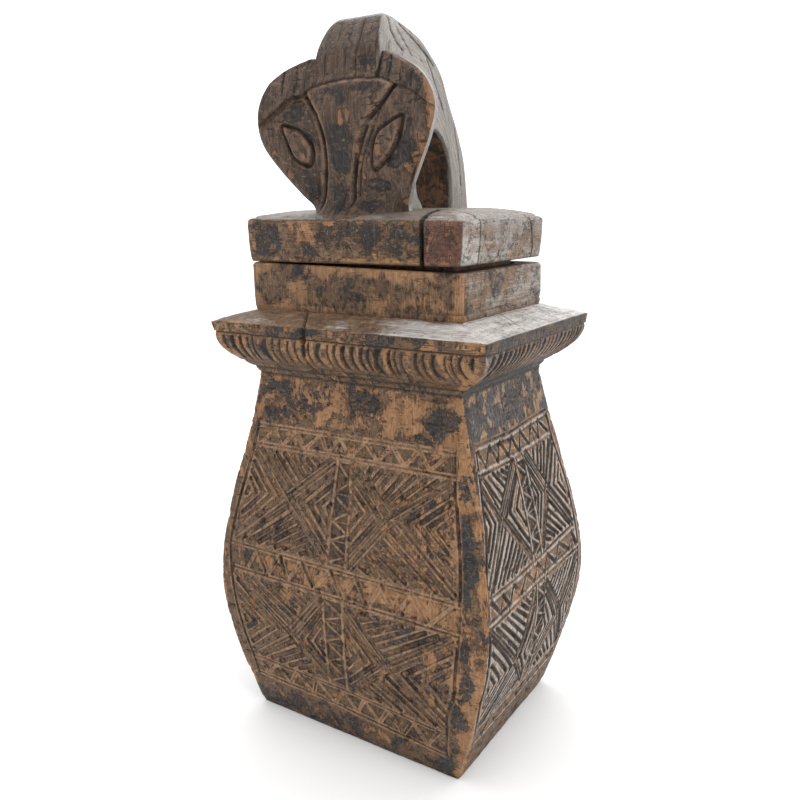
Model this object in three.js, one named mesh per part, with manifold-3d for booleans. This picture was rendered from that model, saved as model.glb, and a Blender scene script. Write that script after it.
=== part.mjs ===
// Carved hardwood storage box with a lift-off lid.
// Millimetres, +Z up, origin at the centre of the base, carved head facing -Y.
import * as THREE from 'three';
import Module from 'manifold-3d';
import * as BufferGeometryUtils from 'three/addons/utils/BufferGeometryUtils.js';

// Sizes that drive the whole box.
const LID_WIDTH = 192.5;
const LID_SHIFT_X = -3.75;
const LID_DEPTH = 134.6;
const BASE_SEAT_Z = 0;
const NECK_Z = 288;
const CORNICE_LIP_Z = 336;
const COLLAR_FOOT_Z = 344;
const COLLAR_TOP_Z = 376.2;
const COLLAR_RISE_LEFT = 3.9;
const LID_SEAT_GAP = 0.5;
const LID_EDGE_Z = 412.0;
const LID_RISE_LEFT = 1.6;
const LID_CROWN_Z = 418.6;
const CROWN_TOP_Z = 549.8;

// Half widths (X) and half depths (Y) of the bulging walls, from the base to the neck.
const WALL_KNOTS = [
  { z: BASE_SEAT_Z, x: 98.3, y: 79.3 },
  { z: 53, x: 113.9, y: 88.9 },
  { z: 100, x: 124.4, y: 92.3 },
  { z: 135, x: 126.4, y: 90.2 },
  { z: 185, x: 118.5, y: 83.1 },
  { z: 238, x: 105, y: 73.8 },
  { z: 265, x: 98.3, y: 70 },
  { z: NECK_Z, x: 93, y: 67.9 },
];
const WALL_LEVELS = 16;
const ARRIS_RADIUS = 2.4;
const FOOT_CHAMFER = 1.2;

// Cornice: a fluted quarter round under a plain fillet, with a sloped top.
const NECK_HALF = { x: 93, y: 67.9 };
const LIP_HALF = { x: 122.5, y: 89.5 };
const LIP_BACK_EXTRA = 3.6;
const FILLET_HEIGHT = 10.5;
const FLUTE_PITCH = 8;
const FLUTE_DEPTH = 1.8;
const COLLAR_HALF = { x: 94.2, y: 67.2 };
const COLLAR_SHIFT_X = -2;
const COLLAR_ROUND = 2.6;

// Chip-carved lattices and bands, in millimetres along each wall and up. Each wall is seen from outside, so
// that `along` runs to the right. The fields between the raised straps and border lines are sunk.
const FIELD_DEPTH = { x: 1.5, y: 1.1 };
const STRAP_HALF = 5;
const BORDER_HALF = 2.2;
const WALL_PATTERNS = {
  front: {
    lattices: [
      { crossing: [-58.3, 195.8], corners: [[-94, 234], [-12.5, 233], [-14, 152], [-112, 152]] },
      { crossing: [43.3, 198.7], corners: [[2.5, 234.5], [90, 235], [100, 151], [4.5, 152]] },
      { crossing: [-50.8, 84.2], corners: [[-112, 126], [-17, 126], [-15, 50], [-96, 50]] },
      { crossing: [43.3, 82.5], corners: [[2, 125], [102, 125], [92, 44], [4, 48]] },
    ],
    bands: [
      [[-91, 250.3], [88, 253.4], [90, 237], [-93, 234.8]],
      [[-114, 149.4], [102, 149], [102, 126], [-112, 128.4]],
      [[-95, 48.7], [90, 41.6], [88, 20.8], [-93, 32.6]],
    ],
  },
  right: {
    lattices: [
      { crossing: [-45.7, 202], corners: [[-65, 237], [-8.5, 236], [-9, 158], [-84, 157]] },
      { crossing: [33.6, 200.7], corners: [[8.5, 236.5], [62, 237], [73, 159], [9, 159]] },
      { crossing: [-33, 84], corners: [[-86, 136], [-10, 137], [-4, 49], [-80, 49]] },
      { crossing: [47, 90], corners: [[9, 135], [77, 136], [73, 46], [10, 47]] },
    ],
    bands: [
      [[-61, 255], [61, 255.3], [63, 239.8], [-65, 239.6]],
      [[-84, 155.4], [72, 156.2], [79, 138.8], [-87, 138.8]],
      [[-78, 48], [72, 44], [70, 30], [-76, 33]],
    ],
  },
  back: {
    lattices: [
      { crossing: [-52, 197], corners: [[-92, 235], [-9, 235], [-9, 154], [-109, 154]] },
      { crossing: [52, 195], corners: [[9, 235], [93, 235], [110, 153], [9, 154]] },
      { crossing: [-52, 87], corners: [[-109, 127], [-9, 127], [-9, 49], [-95, 49]] },
      { crossing: [51, 88], corners: [[9, 127], [110, 127], [96, 48], [9, 49]] },
    ],
    bands: [
      [[-89, 252], [89, 253], [92, 238], [-92, 237]],
      [[-111, 151], [111, 150], [111, 129], [-111, 129]],
      [[-95, 47], [95, 46], [91, 30], [-91, 30]],
    ],
  },
  left: {
    lattices: [
      { crossing: [-37, 198], corners: [[-65, 235], [-8, 235], [-8, 155], [-76, 155]] },
      { crossing: [38, 198], corners: [[8, 235], [65, 235], [76, 155], [8, 155]] },
      { crossing: [-40, 90], corners: [[-79, 131], [-8, 131], [-8, 50], [-74, 50]] },
      { crossing: [40, 88], corners: [[8, 131], [79, 131], [74, 50], [8, 50]] },
    ],
    bands: [
      [[-61, 253], [61, 252], [64, 237], [-64, 238]],
      [[-78, 152], [78, 152], [79, 133], [-79, 133]],
      [[-73, 47], [73, 47], [70, 31], [-70, 31]],
    ],
  },
};

// Hollow, cut down through the collar.
const MOUTH_HALF = { x: 77, y: 52 };
const MOUTH_RADIUS = 9;
const FLOOR_Z = 24;
const WALL_THICKNESS = 17;

// Lid slab, the plug under it, and the block let into its front right corner.
const SLAB_ROUND = 4;
const SLAB_CORNER_RADIUS = 5;
const PLUG_CLEARANCE = 1.4;
const PLUG_DEPTH = 22;
const PATCH_LEFT_X = 62;
const PATCH_JOINT_GAP = 3.4;
const PATCH_BACK_Y = -42.3;
const PATCH_BACK_GAP = 0.4;
const PEG_X = 82.5;
const PEG_Z = 399.6;
const PEG_RADIUS = 2;
const PEG_LENGTH = 32;
const PEG_CLEARANCE = 0.3;

// Arched handle, seen from the side.
const ARCH_HALF_WIDTH = 30;
const ARCH_CREST_HALF_WIDTH = 18.5;
const ARCH_SHIFT_X = -2.5;
const ARCH_TAPER_START_Z = 512;
const ARCH_BEVEL = 4;
const CREST_ARRIS_X = 19;
const CREST_FACET_DEPTH = 15;

// Carved head on the front end of the arch.
const HEAD_FOOT_Z = 411;
const HEAD_TOP_Z = 523;
const HEAD_RIM = 7;
const HEAD_LEVELS = 30;
const HEAD_COLUMNS = 36;
const FOREHEAD_PROUD = 3.2;
const SNOUT_PROUD = 2.4;
const CHANNEL_DEPTH = 2.6;
const EYE_PROUD = 2.2;
const EYE_GROOVE = 2.4;

const wasm = await Module();
wasm.setup();

// Smooth curve through knots; returns the values at one height.
function curveThrough(heights, rows) {
  const width = rows[0].length;
  const curve = new THREE.CubicInterpolant(heights, rows.flat(), width);
  return (height) => Array.from(curve.evaluate(height));
}

const wallCurve = curveThrough(WALL_KNOTS.map((k) => k.z), WALL_KNOTS.map((k) => [k.x, k.y]));

// Counter-clockwise rounded rectangle at one height, as points of a ring.
function roundedRing(halfX, halfY, radius, z, segments = 3) {
  const ring = [];
  const corners = [[1, -1, -90], [1, 1, 0], [-1, 1, 90], [-1, -1, 180]];
  for (const [sx, sy, start] of corners) {
    for (let i = 0; i <= segments; i += 1) {
      const angle = THREE.MathUtils.degToRad(start + (90 * i) / segments);
      const x = sx * (halfX - radius) + radius * Math.cos(angle);
      const y = sy * (halfY - radius) + radius * Math.sin(angle);
      ring.push(new THREE.Vector3(x, y, typeof z === 'function' ? z(x, y) : z));
    }
  }
  return ring;
}

// Solid skinned over rings that have the same number of points, closed at both ends.
function loft(rings) {
  const count = rings[0].length;
  const positions = rings.flat().flatMap((p) => [p.x, p.y, p.z]);
  const triangles = [];
  for (let level = 0; level + 1 < rings.length; level += 1) {
    for (let i = 0; i < count; i += 1) {
      const a = level * count + i;
      const b = level * count + ((i + 1) % count);
      triangles.push(a, b, b + count, a, b + count, a + count);
    }
  }
  const outline = (ring) => ring.map((p) => new THREE.Vector2(p.x, p.y));
  const last = (rings.length - 1) * count;
  for (const [a, b, c] of THREE.ShapeUtils.triangulateShape(outline(rings[0]), [])) {
    triangles.push(c, b, a);
  }
  for (const [a, b, c] of THREE.ShapeUtils.triangulateShape(outline(rings.at(-1)), [])) {
    triangles.push(last + a, last + b, last + c);
  }
  return toSolid(positions, triangles);
}

function toSolid(positions, triangles) {
  const vertProperties = new Float32Array(positions);
  const triVerts = new Uint32Array(triangles);
  return new wasm.Manifold(new wasm.Mesh({ numProp: 3, vertProperties, triVerts }));
}

function solidFrom(geometry) {
  geometry.deleteAttribute('normal');
  geometry.deleteAttribute('uv');
  const merged = BufferGeometryUtils.mergeVertices(geometry, 1e-4);
  return toSolid(merged.attributes.position.array, merged.index.array);
}

function box(min, max) {
  const geometry = new THREE.BoxGeometry(max[0] - min[0], max[1] - min[1], max[2] - min[2]);
  geometry.translate((min[0] + max[0]) / 2, (min[1] + max[1]) / 2, (min[2] + max[2]) / 2);
  return solidFrom(geometry);
}

// Bulging walls, from the chamfered foot to the neck and on into the cornice, drawn in by an inset.
function bulgingWalls(inset) {
  const rings = [];
  const foot = wallCurve(BASE_SEAT_Z);
  const ring = (halfX, halfY, z) => roundedRing(halfX - inset.x, halfY - inset.y, ARRIS_RADIUS, z);
  rings.push(ring(foot[0] - FOOT_CHAMFER, foot[1] - FOOT_CHAMFER, BASE_SEAT_Z));
  for (let i = 0; i <= WALL_LEVELS; i += 1) {
    const z = FOOT_CHAMFER + ((NECK_Z - FOOT_CHAMFER) * i) / WALL_LEVELS;
    const [halfX, halfY] = wallCurve(z);
    rings.push(ring(halfX, halfY, z));
  }
  rings.push(ring(NECK_HALF.x, NECK_HALF.y, NECK_Z + 14));
  return loft(rings);
}

// Convex outline with each edge moved inwards by its own inset, whichever way round it is drawn.
function insetOutline(corners, insets) {
  const points = corners.map(([a, b]) => new THREE.Vector2(a, b));
  const turn = THREE.ShapeUtils.isClockWise(points) ? -1 : 1;
  const count = points.length;
  const edges = points.map((from, i) => {
    const along = points[(i + 1) % count].clone().sub(from).normalize();
    const inward = new THREE.Vector2(-along.y, along.x).multiplyScalar(turn * insets[i]);
    return { from: from.clone().add(inward), along };
  });
  return edges.map((edge, i) => {
    const before = edges[(i + count - 1) % count];
    const gap = edge.from.clone().sub(before.from);
    const t = gap.cross(edge.along) / before.along.cross(edge.along);
    return before.from.clone().addScaledVector(before.along, t);
  });
}

// Sunk fields of one wall: four triangles round each crossing, and the inside of each band.
function sunkFields({ lattices, bands }) {
  const fields = [];
  for (const { crossing, corners } of lattices) {
    corners.forEach((corner, i) => {
      const next = corners[(i + 1) % corners.length];
      fields.push(insetOutline([corner, next, crossing], [BORDER_HALF, STRAP_HALF, STRAP_HALF]));
    });
  }
  for (const band of bands) {
    fields.push(insetOutline(band, [BORDER_HALF, BORDER_HALF, BORDER_HALF, BORDER_HALF]));
  }
  return fields;
}

// Outlines on a wall, drawn right through it. `facing` turns the front to the wall meant, in quarter turns.
function fieldPrisms(fields, facing) {
  const near = facing % 2 === 0 ? 55 : 85;
  const reach = 150 - near;
  return fields.map((outline) => {
    const prism = new THREE.ExtrudeGeometry(new THREE.Shape(outline), { depth: reach, bevelEnabled: false });
    prism.rotateX(Math.PI / 2);
    prism.translate(0, -near, 0);
    prism.rotateZ((facing * Math.PI) / 2);
    return solidFrom(prism);
  });
}

function wallSolid() {
  const { front, right, back, left } = WALL_PATTERNS;
  const prisms = [front, right, back, left].flatMap((wall, facing) => fieldPrisms(sunkFields(wall), facing));
  const cuts = wasm.Manifold.union(prisms).subtract(bulgingWalls(FIELD_DEPTH));
  return bulgingWalls({ x: 0, y: 0 }).subtract(cuts);
}

// One ring of the cornice: points alternate between the backs and the furrows of the flutes.
function flutedRing(reach, z, depth) {
  const halfX = THREE.MathUtils.lerp(NECK_HALF.x, LIP_HALF.x, reach);
  const halfY = THREE.MathUtils.lerp(NECK_HALF.y, LIP_HALF.y, reach);
  const ring = [];
  const sides = [
    { along: [1, 0], out: [0, -1], half: halfX, away: halfY, pitches: LIP_HALF.x },
    { along: [0, 1], out: [1, 0], half: halfY, away: halfX, pitches: LIP_HALF.y },
    { along: [-1, 0], out: [0, 1], half: halfX, away: halfY, pitches: LIP_HALF.x },
    { along: [0, -1], out: [-1, 0], half: halfY, away: halfX, pitches: LIP_HALF.y },
  ];
  for (const side of sides) {
    const flutes = Math.round((2 * side.pitches) / FLUTE_PITCH);
    const run = side.half - ARRIS_RADIUS;
    const back = LIP_BACK_EXTRA * Math.max(reach, 0);
    for (let i = 0; i <= 2 * flutes; i += 1) {
      const s = -run + (run * i) / flutes;
      const furrow = i % 2 === 0 && i > 0 && i < 2 * flutes;
      const away = side.away - (furrow ? depth : 0);
      const x = side.along[0] * s + side.out[0] * away;
      const y = side.along[1] * s + side.out[1] * away;
      ring.push(new THREE.Vector3(x, y + back * (0.5 + (0.5 * y) / halfY), z));
    }
  }
  return ring;
}

// Cornice: emerges from the neck as a cove, swells into the fluted round, ends in the fillet.
function corniceSolid() {
  const coveTop = NECK_Z + 12;
  const filletFoot = CORNICE_LIP_Z - FILLET_HEIGHT;
  const rings = [
    flutedRing(-0.03, NECK_Z + 2, 0),
    flutedRing(0.05, NECK_Z + 7, 0),
    flutedRing(0.24, coveTop, 0),
  ];
  const steps = 6;
  for (let i = 1; i <= steps; i += 1) {
    const rise = i / steps;
    const reach = 0.24 + 0.69 * (1 - (1 - rise) ** 2.1);
    const z = coveTop + (filletFoot - coveTop) * rise;
    rings.push(flutedRing(reach, z, i < steps ? FLUTE_DEPTH : FLUTE_DEPTH * 0.6));
  }
  rings.push(flutedRing(0.955, filletFoot + 1, 0));
  rings.push(flutedRing(1, CORNICE_LIP_Z - 1.5, 0));
  rings.push(flutedRing(0.96, CORNICE_LIP_Z, 0));
  rings.push(flutedRing(-0.05, COLLAR_FOOT_Z, 0));
  return loft(rings);
}

function shifted(ring, byX) {
  return ring.map((p) => new THREE.Vector3(p.x + byX, p.y, p.z));
}

// The collar's top and the slab's crown stand a little higher on the left.
function leftShare(x) {
  return THREE.MathUtils.clamp((COLLAR_HALF.x - x) / (2 * COLLAR_HALF.x), 0, 1);
}

function collarSolid() {
  const { x, y } = COLLAR_HALF;
  const below = (drop) => (ringX) => COLLAR_TOP_Z + COLLAR_RISE_LEFT * leftShare(ringX) - drop;
  const rings = [
    roundedRing(NECK_HALF.x - 2, NECK_HALF.y - 2, 4, NECK_Z + 10),
    roundedRing(x - 1, y - 1, 4, COLLAR_FOOT_Z - 3),
    roundedRing(x, y, 4, COLLAR_FOOT_Z + 2),
    roundedRing(x, y, 4, below(COLLAR_ROUND)),
    roundedRing(x - 0.8, y - 0.8, 4, below(0.8)),
    roundedRing(x - COLLAR_ROUND, y - COLLAR_ROUND, 4, below(0)),
  ];
  return loft(rings.map((ring) => shifted(ring, COLLAR_SHIFT_X)));
}

// Hollow: straight mouth down through the collar, then a belly that follows the walls.
function hollowSolid() {
  const rings = [roundedRing(80, 58, 14, FLOOR_Z), roundedRing(86, 64, 14, FLOOR_Z + 3)];
  const bottom = FLOOR_Z + 14;
  const top = 236;
  const steps = 8;
  for (let i = 0; i <= steps; i += 1) {
    const z = bottom + ((top - bottom) * i) / steps;
    const [halfX, halfY] = wallCurve(z);
    rings.push(roundedRing(halfX - WALL_THICKNESS, halfY - WALL_THICKNESS, 14, z));
  }
  rings.push(roundedRing(MOUTH_HALF.x, MOUTH_HALF.y, MOUTH_RADIUS, NECK_Z));
  rings.push(roundedRing(MOUTH_HALF.x, MOUTH_HALF.y, MOUTH_RADIUS, COLLAR_TOP_Z + 10));
  return loft(rings);
}

function bodySolid() {
  return wallSolid().add(corniceSolid()).add(collarSolid()).subtract(hollowSolid());
}

// The level underside of the slab rests on the high left side of the collar and gapes on the right.
const SLAB_UNDERSIDE_Z = COLLAR_TOP_Z + COLLAR_RISE_LEFT + LID_SEAT_GAP;

function slabSolid() {
  const halfX = LID_WIDTH / 2;
  const halfY = LID_DEPTH / 2;
  const edge = (drop) => (x) => LID_EDGE_Z + LID_RISE_LEFT * leftShare(x) - drop;
  const rings = [
    roundedRing(halfX - 3.2, halfY - 1.6, 4, SLAB_UNDERSIDE_Z),
    roundedRing(halfX - 2, halfY - 0.2, SLAB_CORNER_RADIUS, SLAB_UNDERSIDE_Z + 1.8),
    roundedRing(halfX, halfY, SLAB_CORNER_RADIUS, edge(SLAB_ROUND)),
    roundedRing(halfX - 1, halfY - 1, SLAB_CORNER_RADIUS, edge(1.4)),
    roundedRing(halfX - SLAB_ROUND, halfY - SLAB_ROUND, SLAB_CORNER_RADIUS, edge(0)),
  ];
  const crownInsets = [14, 28, 46, 62];
  for (const inset of crownInsets) {
    const share = 1 - (1 - inset / 62) ** 2;
    const z = (x) => THREE.MathUtils.lerp(edge(0)(x), LID_CROWN_Z, share);
    rings.push(roundedRing(halfX - inset, halfY - inset, SLAB_CORNER_RADIUS, z));
  }
  return loft(rings.map((ring) => shifted(ring, LID_SHIFT_X)));
}

function patchSpace(gapLeft, gapBack, fromZ) {
  const left = PATCH_LEFT_X - gapLeft;
  const back = PATCH_BACK_Y + gapBack;
  return box([left, -LID_DEPTH, fromZ], [LID_WIDTH, back, CROWN_TOP_Z]);
}

// Peg driven in from the front face; with a clearance it is the bore that holds the peg.
function pegSolid(clearance) {
  const radius = PEG_RADIUS + clearance;
  const front = -LID_DEPTH / 2 - (clearance > 0 ? 3 : 0.1);
  const end = PEG_LENGTH - LID_DEPTH / 2 + clearance;
  const peg = new THREE.CylinderGeometry(radius, radius, end - front, 20);
  peg.translate(PEG_X, (front + end) / 2, PEG_Z);
  return solidFrom(peg);
}

function plugSolid() {
  const halfX = MOUTH_HALF.x - PLUG_CLEARANCE;
  const halfY = MOUTH_HALF.y - PLUG_CLEARANCE;
  const foot = COLLAR_TOP_Z - PLUG_DEPTH;
  const plug = loft([
    roundedRing(halfX - 2.5, halfY - 2.5, MOUTH_RADIUS, foot),
    roundedRing(halfX, halfY, MOUTH_RADIUS, foot + 3),
    roundedRing(halfX, halfY, MOUTH_RADIUS, COLLAR_TOP_Z + 12),
  ]);
  return plug.subtract(patchSpace(PATCH_JOINT_GAP, PATCH_BACK_GAP, SLAB_UNDERSIDE_Z - 0.8));
}

// Side outlines, in the plane of Y and Z, of the arch and of the finger hole under it.
function archOutline() {
  const front = [[-50, 409], [-51, 430], [-57, 455], [-61.5, 486], [-61.5, 520], [-56.5, 535]];
  const crown = [[-46, 549], [-36, 549.8], [-24, 545.6], [-10, 540], [2, 532.6], [13.5, 523]];
  const back = [[23, 511], [34, 494], [46, 476.7], [55, 458.9], [61, 438], [64.5, 409]];
  return new THREE.Shape([...front, ...crown, ...back].map(([y, z]) => new THREE.Vector2(y, z)));
}

function fingerHoleOutline() {
  const front = [[-2, 405], [-8, 419], [-14, 426], [-17, 440], [-12.5, 461], [-2, 474]];
  const back = [[9, 475], [17, 472], [26.8, 462], [33.3, 444], [35, 428], [32, 405]];
  const curve = new THREE.SplineCurve([...front, ...back].map(([y, z]) => new THREE.Vector2(y, z)));
  return new THREE.Shape(curve.getPoints(24));
}

// The sides of the arch stand straight and round over towards the crown.
function archHalfWidth(z) {
  const rise = THREE.MathUtils.clamp((z - ARCH_TAPER_START_Z) / (CROWN_TOP_Z - ARCH_TAPER_START_Z), 0, 1);
  const drop = ARCH_HALF_WIDTH - ARCH_CREST_HALF_WIDTH;
  return ARCH_HALF_WIDTH - drop * (1 - Math.sqrt(1 - 0.98 * rise * rise));
}

// Shape in the plane of Y and Z, drawn out along X to both sides of the middle plane.
function acrossSolid(shape, halfWidth, bevel) {
  const depth = 2 * (halfWidth - bevel);
  const geometry = new THREE.ExtrudeGeometry(shape, {
    depth,
    bevelEnabled: bevel > 0,
    bevelThickness: bevel,
    bevelSize: bevel,
    bevelOffset: -bevel,
    bevelSegments: 2,
    curveSegments: 1,
  });
  geometry.translate(0, 0, -depth / 2);
  geometry.applyMatrix4(new THREE.Matrix4().set(0, 0, 1, 0, 1, 0, 0, 0, 0, 1, 0, 0, 0, 0, 0, 1));
  return geometry;
}

function archSolid() {
  const geometry = acrossSolid(archOutline(), ARCH_HALF_WIDTH, ARCH_BEVEL);
  const position = geometry.attributes.position;
  for (let i = 0; i < position.count; i += 1) {
    const lean = archHalfWidth(position.getZ(i)) / ARCH_HALF_WIDTH;
    position.setX(i, ARCH_SHIFT_X + position.getX(i) * lean);
  }
  const hole = acrossSolid(fingerHoleOutline(), LID_WIDTH / 2, 0);
  return solidFrom(geometry).subtract(solidFrom(hole)).subtract(crestFacet());
}

// Slanted facet between the crest's front and its right side, seen above the head.
function crestFacet() {
  const right = ARCH_SHIFT_X + ARCH_HALF_WIDTH;
  const front = -58;
  const plan = [[CREST_ARRIS_X, front], [right + 4, front + CREST_FACET_DEPTH], [right + 4, -90], [CREST_ARRIS_X, -90]];
  const shape = new THREE.Shape(plan.map(([x, y]) => new THREE.Vector2(x, y)));
  const facet = new THREE.ExtrudeGeometry(shape, { depth: 60, bevelEnabled: false });
  facet.translate(0, 0, 505);
  return solidFrom(facet);
}

// Left and right edges of the hood-shaped face, and how far forward it stands, by height.
const headCurve = curveThrough(
  [411, 418, 430, 450, 466, 484, 498, 510, 518, 523],
  [
    [-45, 43, -48],
    [-43, 38, -49],
    [-54, 42, -53],
    [-71, 54, -59.5],
    [-81.4, 63.3, -63.5],
    [-84, 69, -66],
    [-82, 63.6, -64],
    [-74, 51.5, -61],
    [-58, 37, -58.5],
    [-41, 25, -56.5],
  ],
);

// Height of the stepped brow line across the face.
const BROW_APEX_X = 0;
const BROW_APEX_Z = 507;
function browLine(x) {
  const across = Math.abs(x - BROW_APEX_X);
  return BROW_APEX_Z - 0.0034 * across * across - 0.02 * across;
}

// Side lines of the snout: wide at the brow, narrow below, with a slight drift to the left.
function snoutHalfWidth(z) {
  const share = THREE.MathUtils.smoothstep(z, 440, 506);
  return 10.5 + 22 * share * share;
}

function snoutCentre(z) {
  return -3 - 11 * (1 - THREE.MathUtils.smoothstep(z, 415, 490));
}

// Slanted almond eye: how deep inside its outline a point lies, 1 at the middle, 0 at the rim.
const EYES = [
  { x: -50.5, z: 465, lean: 0.86, length: 18.5, width: 8.6 },
  { x: 30, z: 462.5, lean: -0.92, length: 22.5, width: 8.6 },
];
function eyeDepth(x, z, eye) {
  const dx = x - eye.x;
  const dz = z - eye.z;
  const along = (dx * Math.sin(eye.lean) - dz * Math.cos(eye.lean)) / eye.length;
  const across = (dx * Math.cos(eye.lean) + dz * Math.sin(eye.lean)) / eye.width;
  return 1 - along * along - Math.abs(across);
}

// Relief of the face, measured outwards from its smooth ground.
function faceRelief(x, z) {
  const above = THREE.MathUtils.smoothstep(z - browLine(x), -1.6, 1.6);
  const centre = snoutCentre(z);
  const half = snoutHalfWidth(z);
  const beside = Math.abs(x - centre) - half;
  const snout = THREE.MathUtils.smoothstep(-beside, -2, 3);
  const channel = Math.exp(-((beside / 2.6) ** 2));
  let below = SNOUT_PROUD * snout - CHANNEL_DEPTH * channel;
  for (const eye of EYES) {
    const depth = eyeDepth(x, z, eye);
    below += EYE_PROUD * THREE.MathUtils.smoothstep(depth, 0.05, 0.5);
    below -= EYE_GROOVE * Math.exp(-(((depth + 0.16) / 0.26) ** 2));
  }
  return THREE.MathUtils.lerp(below, FOREHEAD_PROUD, above);
}

function headRing(z) {
  const [left, right, ground] = headCurve(z);
  const ring = [];
  for (let i = 0; i <= HEAD_COLUMNS; i += 1) {
    const x = THREE.MathUtils.lerp(left, right, i / HEAD_COLUMNS);
    const edge = Math.min(x - left, right - x);
    const relief = faceRelief(x, z) * THREE.MathUtils.smoothstep(edge, 0, 5);
    const rounding = 1.6 * (1 - THREE.MathUtils.smoothstep(edge, 0, 5));
    ring.push(new THREE.Vector3(x, ground - relief + rounding, z));
  }
  const root = ARCH_HALF_WIDTH - 10;
  ring.push(new THREE.Vector3(right - 0.6, ground + HEAD_RIM, z));
  ring.push(new THREE.Vector3(ARCH_SHIFT_X + root, ground + HEAD_RIM + 12, z));
  ring.push(new THREE.Vector3(ARCH_SHIFT_X - root, ground + HEAD_RIM + 12, z));
  ring.push(new THREE.Vector3(left + 0.6, ground + HEAD_RIM, z));
  return ring;
}

function headSolid() {
  const rings = [];
  for (let i = 0; i <= HEAD_LEVELS; i += 1) {
    rings.push(headRing(THREE.MathUtils.lerp(HEAD_FOOT_Z, HEAD_TOP_Z, i / HEAD_LEVELS)));
  }
  return loft(rings);
}

function lidSolid() {
  const notch = patchSpace(PATCH_JOINT_GAP, PATCH_BACK_GAP, 0);
  const slab = slabSolid().subtract(notch).add(plugSolid());
  return slab.add(archSolid()).add(headSolid()).subtract(pegSolid(PEG_CLEARANCE));
}

function patchSolid() {
  return slabSolid().intersect(patchSpace(0, 0, 0)).subtract(pegSolid(PEG_CLEARANCE));
}

function meshOf(name, solid, finish) {
  const result = solid.getMesh();
  const geometry = new THREE.BufferGeometry();
  geometry.setAttribute('position', new THREE.BufferAttribute(result.vertProperties, 3));
  geometry.setIndex(new THREE.BufferAttribute(result.triVerts, 1));
  geometry.computeVertexNormals();
  const mesh = new THREE.Mesh(geometry, new THREE.MeshStandardMaterial(finish));
  mesh.name = name;
  return mesh;
}

const OLD_HARDWOOD = { color: '#75604c', roughness: 0.72, metalness: 0 };
const WEATHERED_HARDWOOD = { color: '#7d6f62', roughness: 0.78, metalness: 0 };
const RED_HARDWOOD = { color: '#7a4d36', roughness: 0.7, metalness: 0 };
const DARK_PEG_WOOD = { color: '#4b3326', roughness: 0.7, metalness: 0 };

const group = new THREE.Group();
group.name = 'carved_wooden_storage_box';
group.add(meshOf('box_body', bodySolid(), OLD_HARDWOOD));
group.add(meshOf('lid', lidSolid(), WEATHERED_HARDWOOD));
group.add(meshOf('lid_corner_patch', patchSolid(), RED_HARDWOOD));
group.add(meshOf('lid_corner_peg', pegSolid(0), DARK_PEG_WOOD));

export default group;
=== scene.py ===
"""Looks of the carved hardwood storage box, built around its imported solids.

Lengths in this file are millimetres unless a name says otherwise; a mesh is turned to metres when it is made.
"""

from __future__ import annotations

import logging
import math
from dataclasses import dataclass, field
from enum import Enum

import bpy
import numpy as np
from mathutils import Matrix, Vector


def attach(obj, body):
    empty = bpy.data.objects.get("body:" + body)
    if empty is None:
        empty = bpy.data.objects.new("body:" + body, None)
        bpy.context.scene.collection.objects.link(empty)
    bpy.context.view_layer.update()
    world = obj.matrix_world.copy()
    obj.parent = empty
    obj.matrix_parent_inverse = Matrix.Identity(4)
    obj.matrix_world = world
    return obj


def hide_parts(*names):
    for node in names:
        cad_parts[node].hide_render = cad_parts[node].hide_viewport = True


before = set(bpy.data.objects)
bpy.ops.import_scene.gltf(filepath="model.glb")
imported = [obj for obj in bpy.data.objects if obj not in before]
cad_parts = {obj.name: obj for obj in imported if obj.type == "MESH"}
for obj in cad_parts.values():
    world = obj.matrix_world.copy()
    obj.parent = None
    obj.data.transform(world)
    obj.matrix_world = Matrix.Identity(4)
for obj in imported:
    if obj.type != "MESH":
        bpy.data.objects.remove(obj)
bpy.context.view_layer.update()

LOG = logging.getLogger("carved_box")
MM = 0.001
IMAGE_PX = 800

Point = tuple[float, float]
Line = tuple[Point, ...]
Arm = tuple[np.ndarray, float]


class Side(Enum):
    """The four walls, in the order in which the perimeter runs round the box."""

    FRONT = 0
    RIGHT = 1
    BACK = 2
    LEFT = 3


class Cut(Enum):
    """What a cutting tool does to a piece: take its own space away, or keep only that."""

    AWAY = "DIFFERENCE"
    KEEP = "INTERSECT"


# Colour and numbers


def to_linear(hex_colour: str) -> tuple[float, float, float, float]:
    """Turn an sRGB hex colour to linear: c/12.92 near black, else ((c + 0.055)/1.055)^2.4.

    Args:
        hex_colour: a colour as "#rrggbb".

    Returns:
        The linear red, green and blue with an alpha of one.
    """
    channels = [int(hex_colour[i : i + 2], 16) / 255 for i in (1, 3, 5)]
    linear = [c / 12.92 if c <= 0.04045 else ((c + 0.055) / 1.055) ** 2.4 for c in channels]
    return (linear[0], linear[1], linear[2], 1.0)


def smooth(value: np.ndarray, low: float, high: float) -> np.ndarray:
    """Ease from 0 at low to 1 at high by 3t² - 2t³, where t is the clamped share of the way.

    Args:
        value: numbers to ease.
        low: value that gives 0.
        high: value that gives 1.

    Returns:
        The eased numbers.
    """
    t = np.clip((value - low) / (high - low), 0.0, 1.0)
    return t * t * (3.0 - 2.0 * t)


def along(knots: Line, at: np.ndarray) -> np.ndarray:
    """Read a broken line given as (position, value) knots, straight between knots and flat beyond.

    Args:
        knots: pairs sorted by position.
        at: positions to read.

    Returns:
        The values at those positions.
    """
    table = np.asarray(knots, float)
    return np.interp(at, table[:, 0], table[:, 1])


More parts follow.
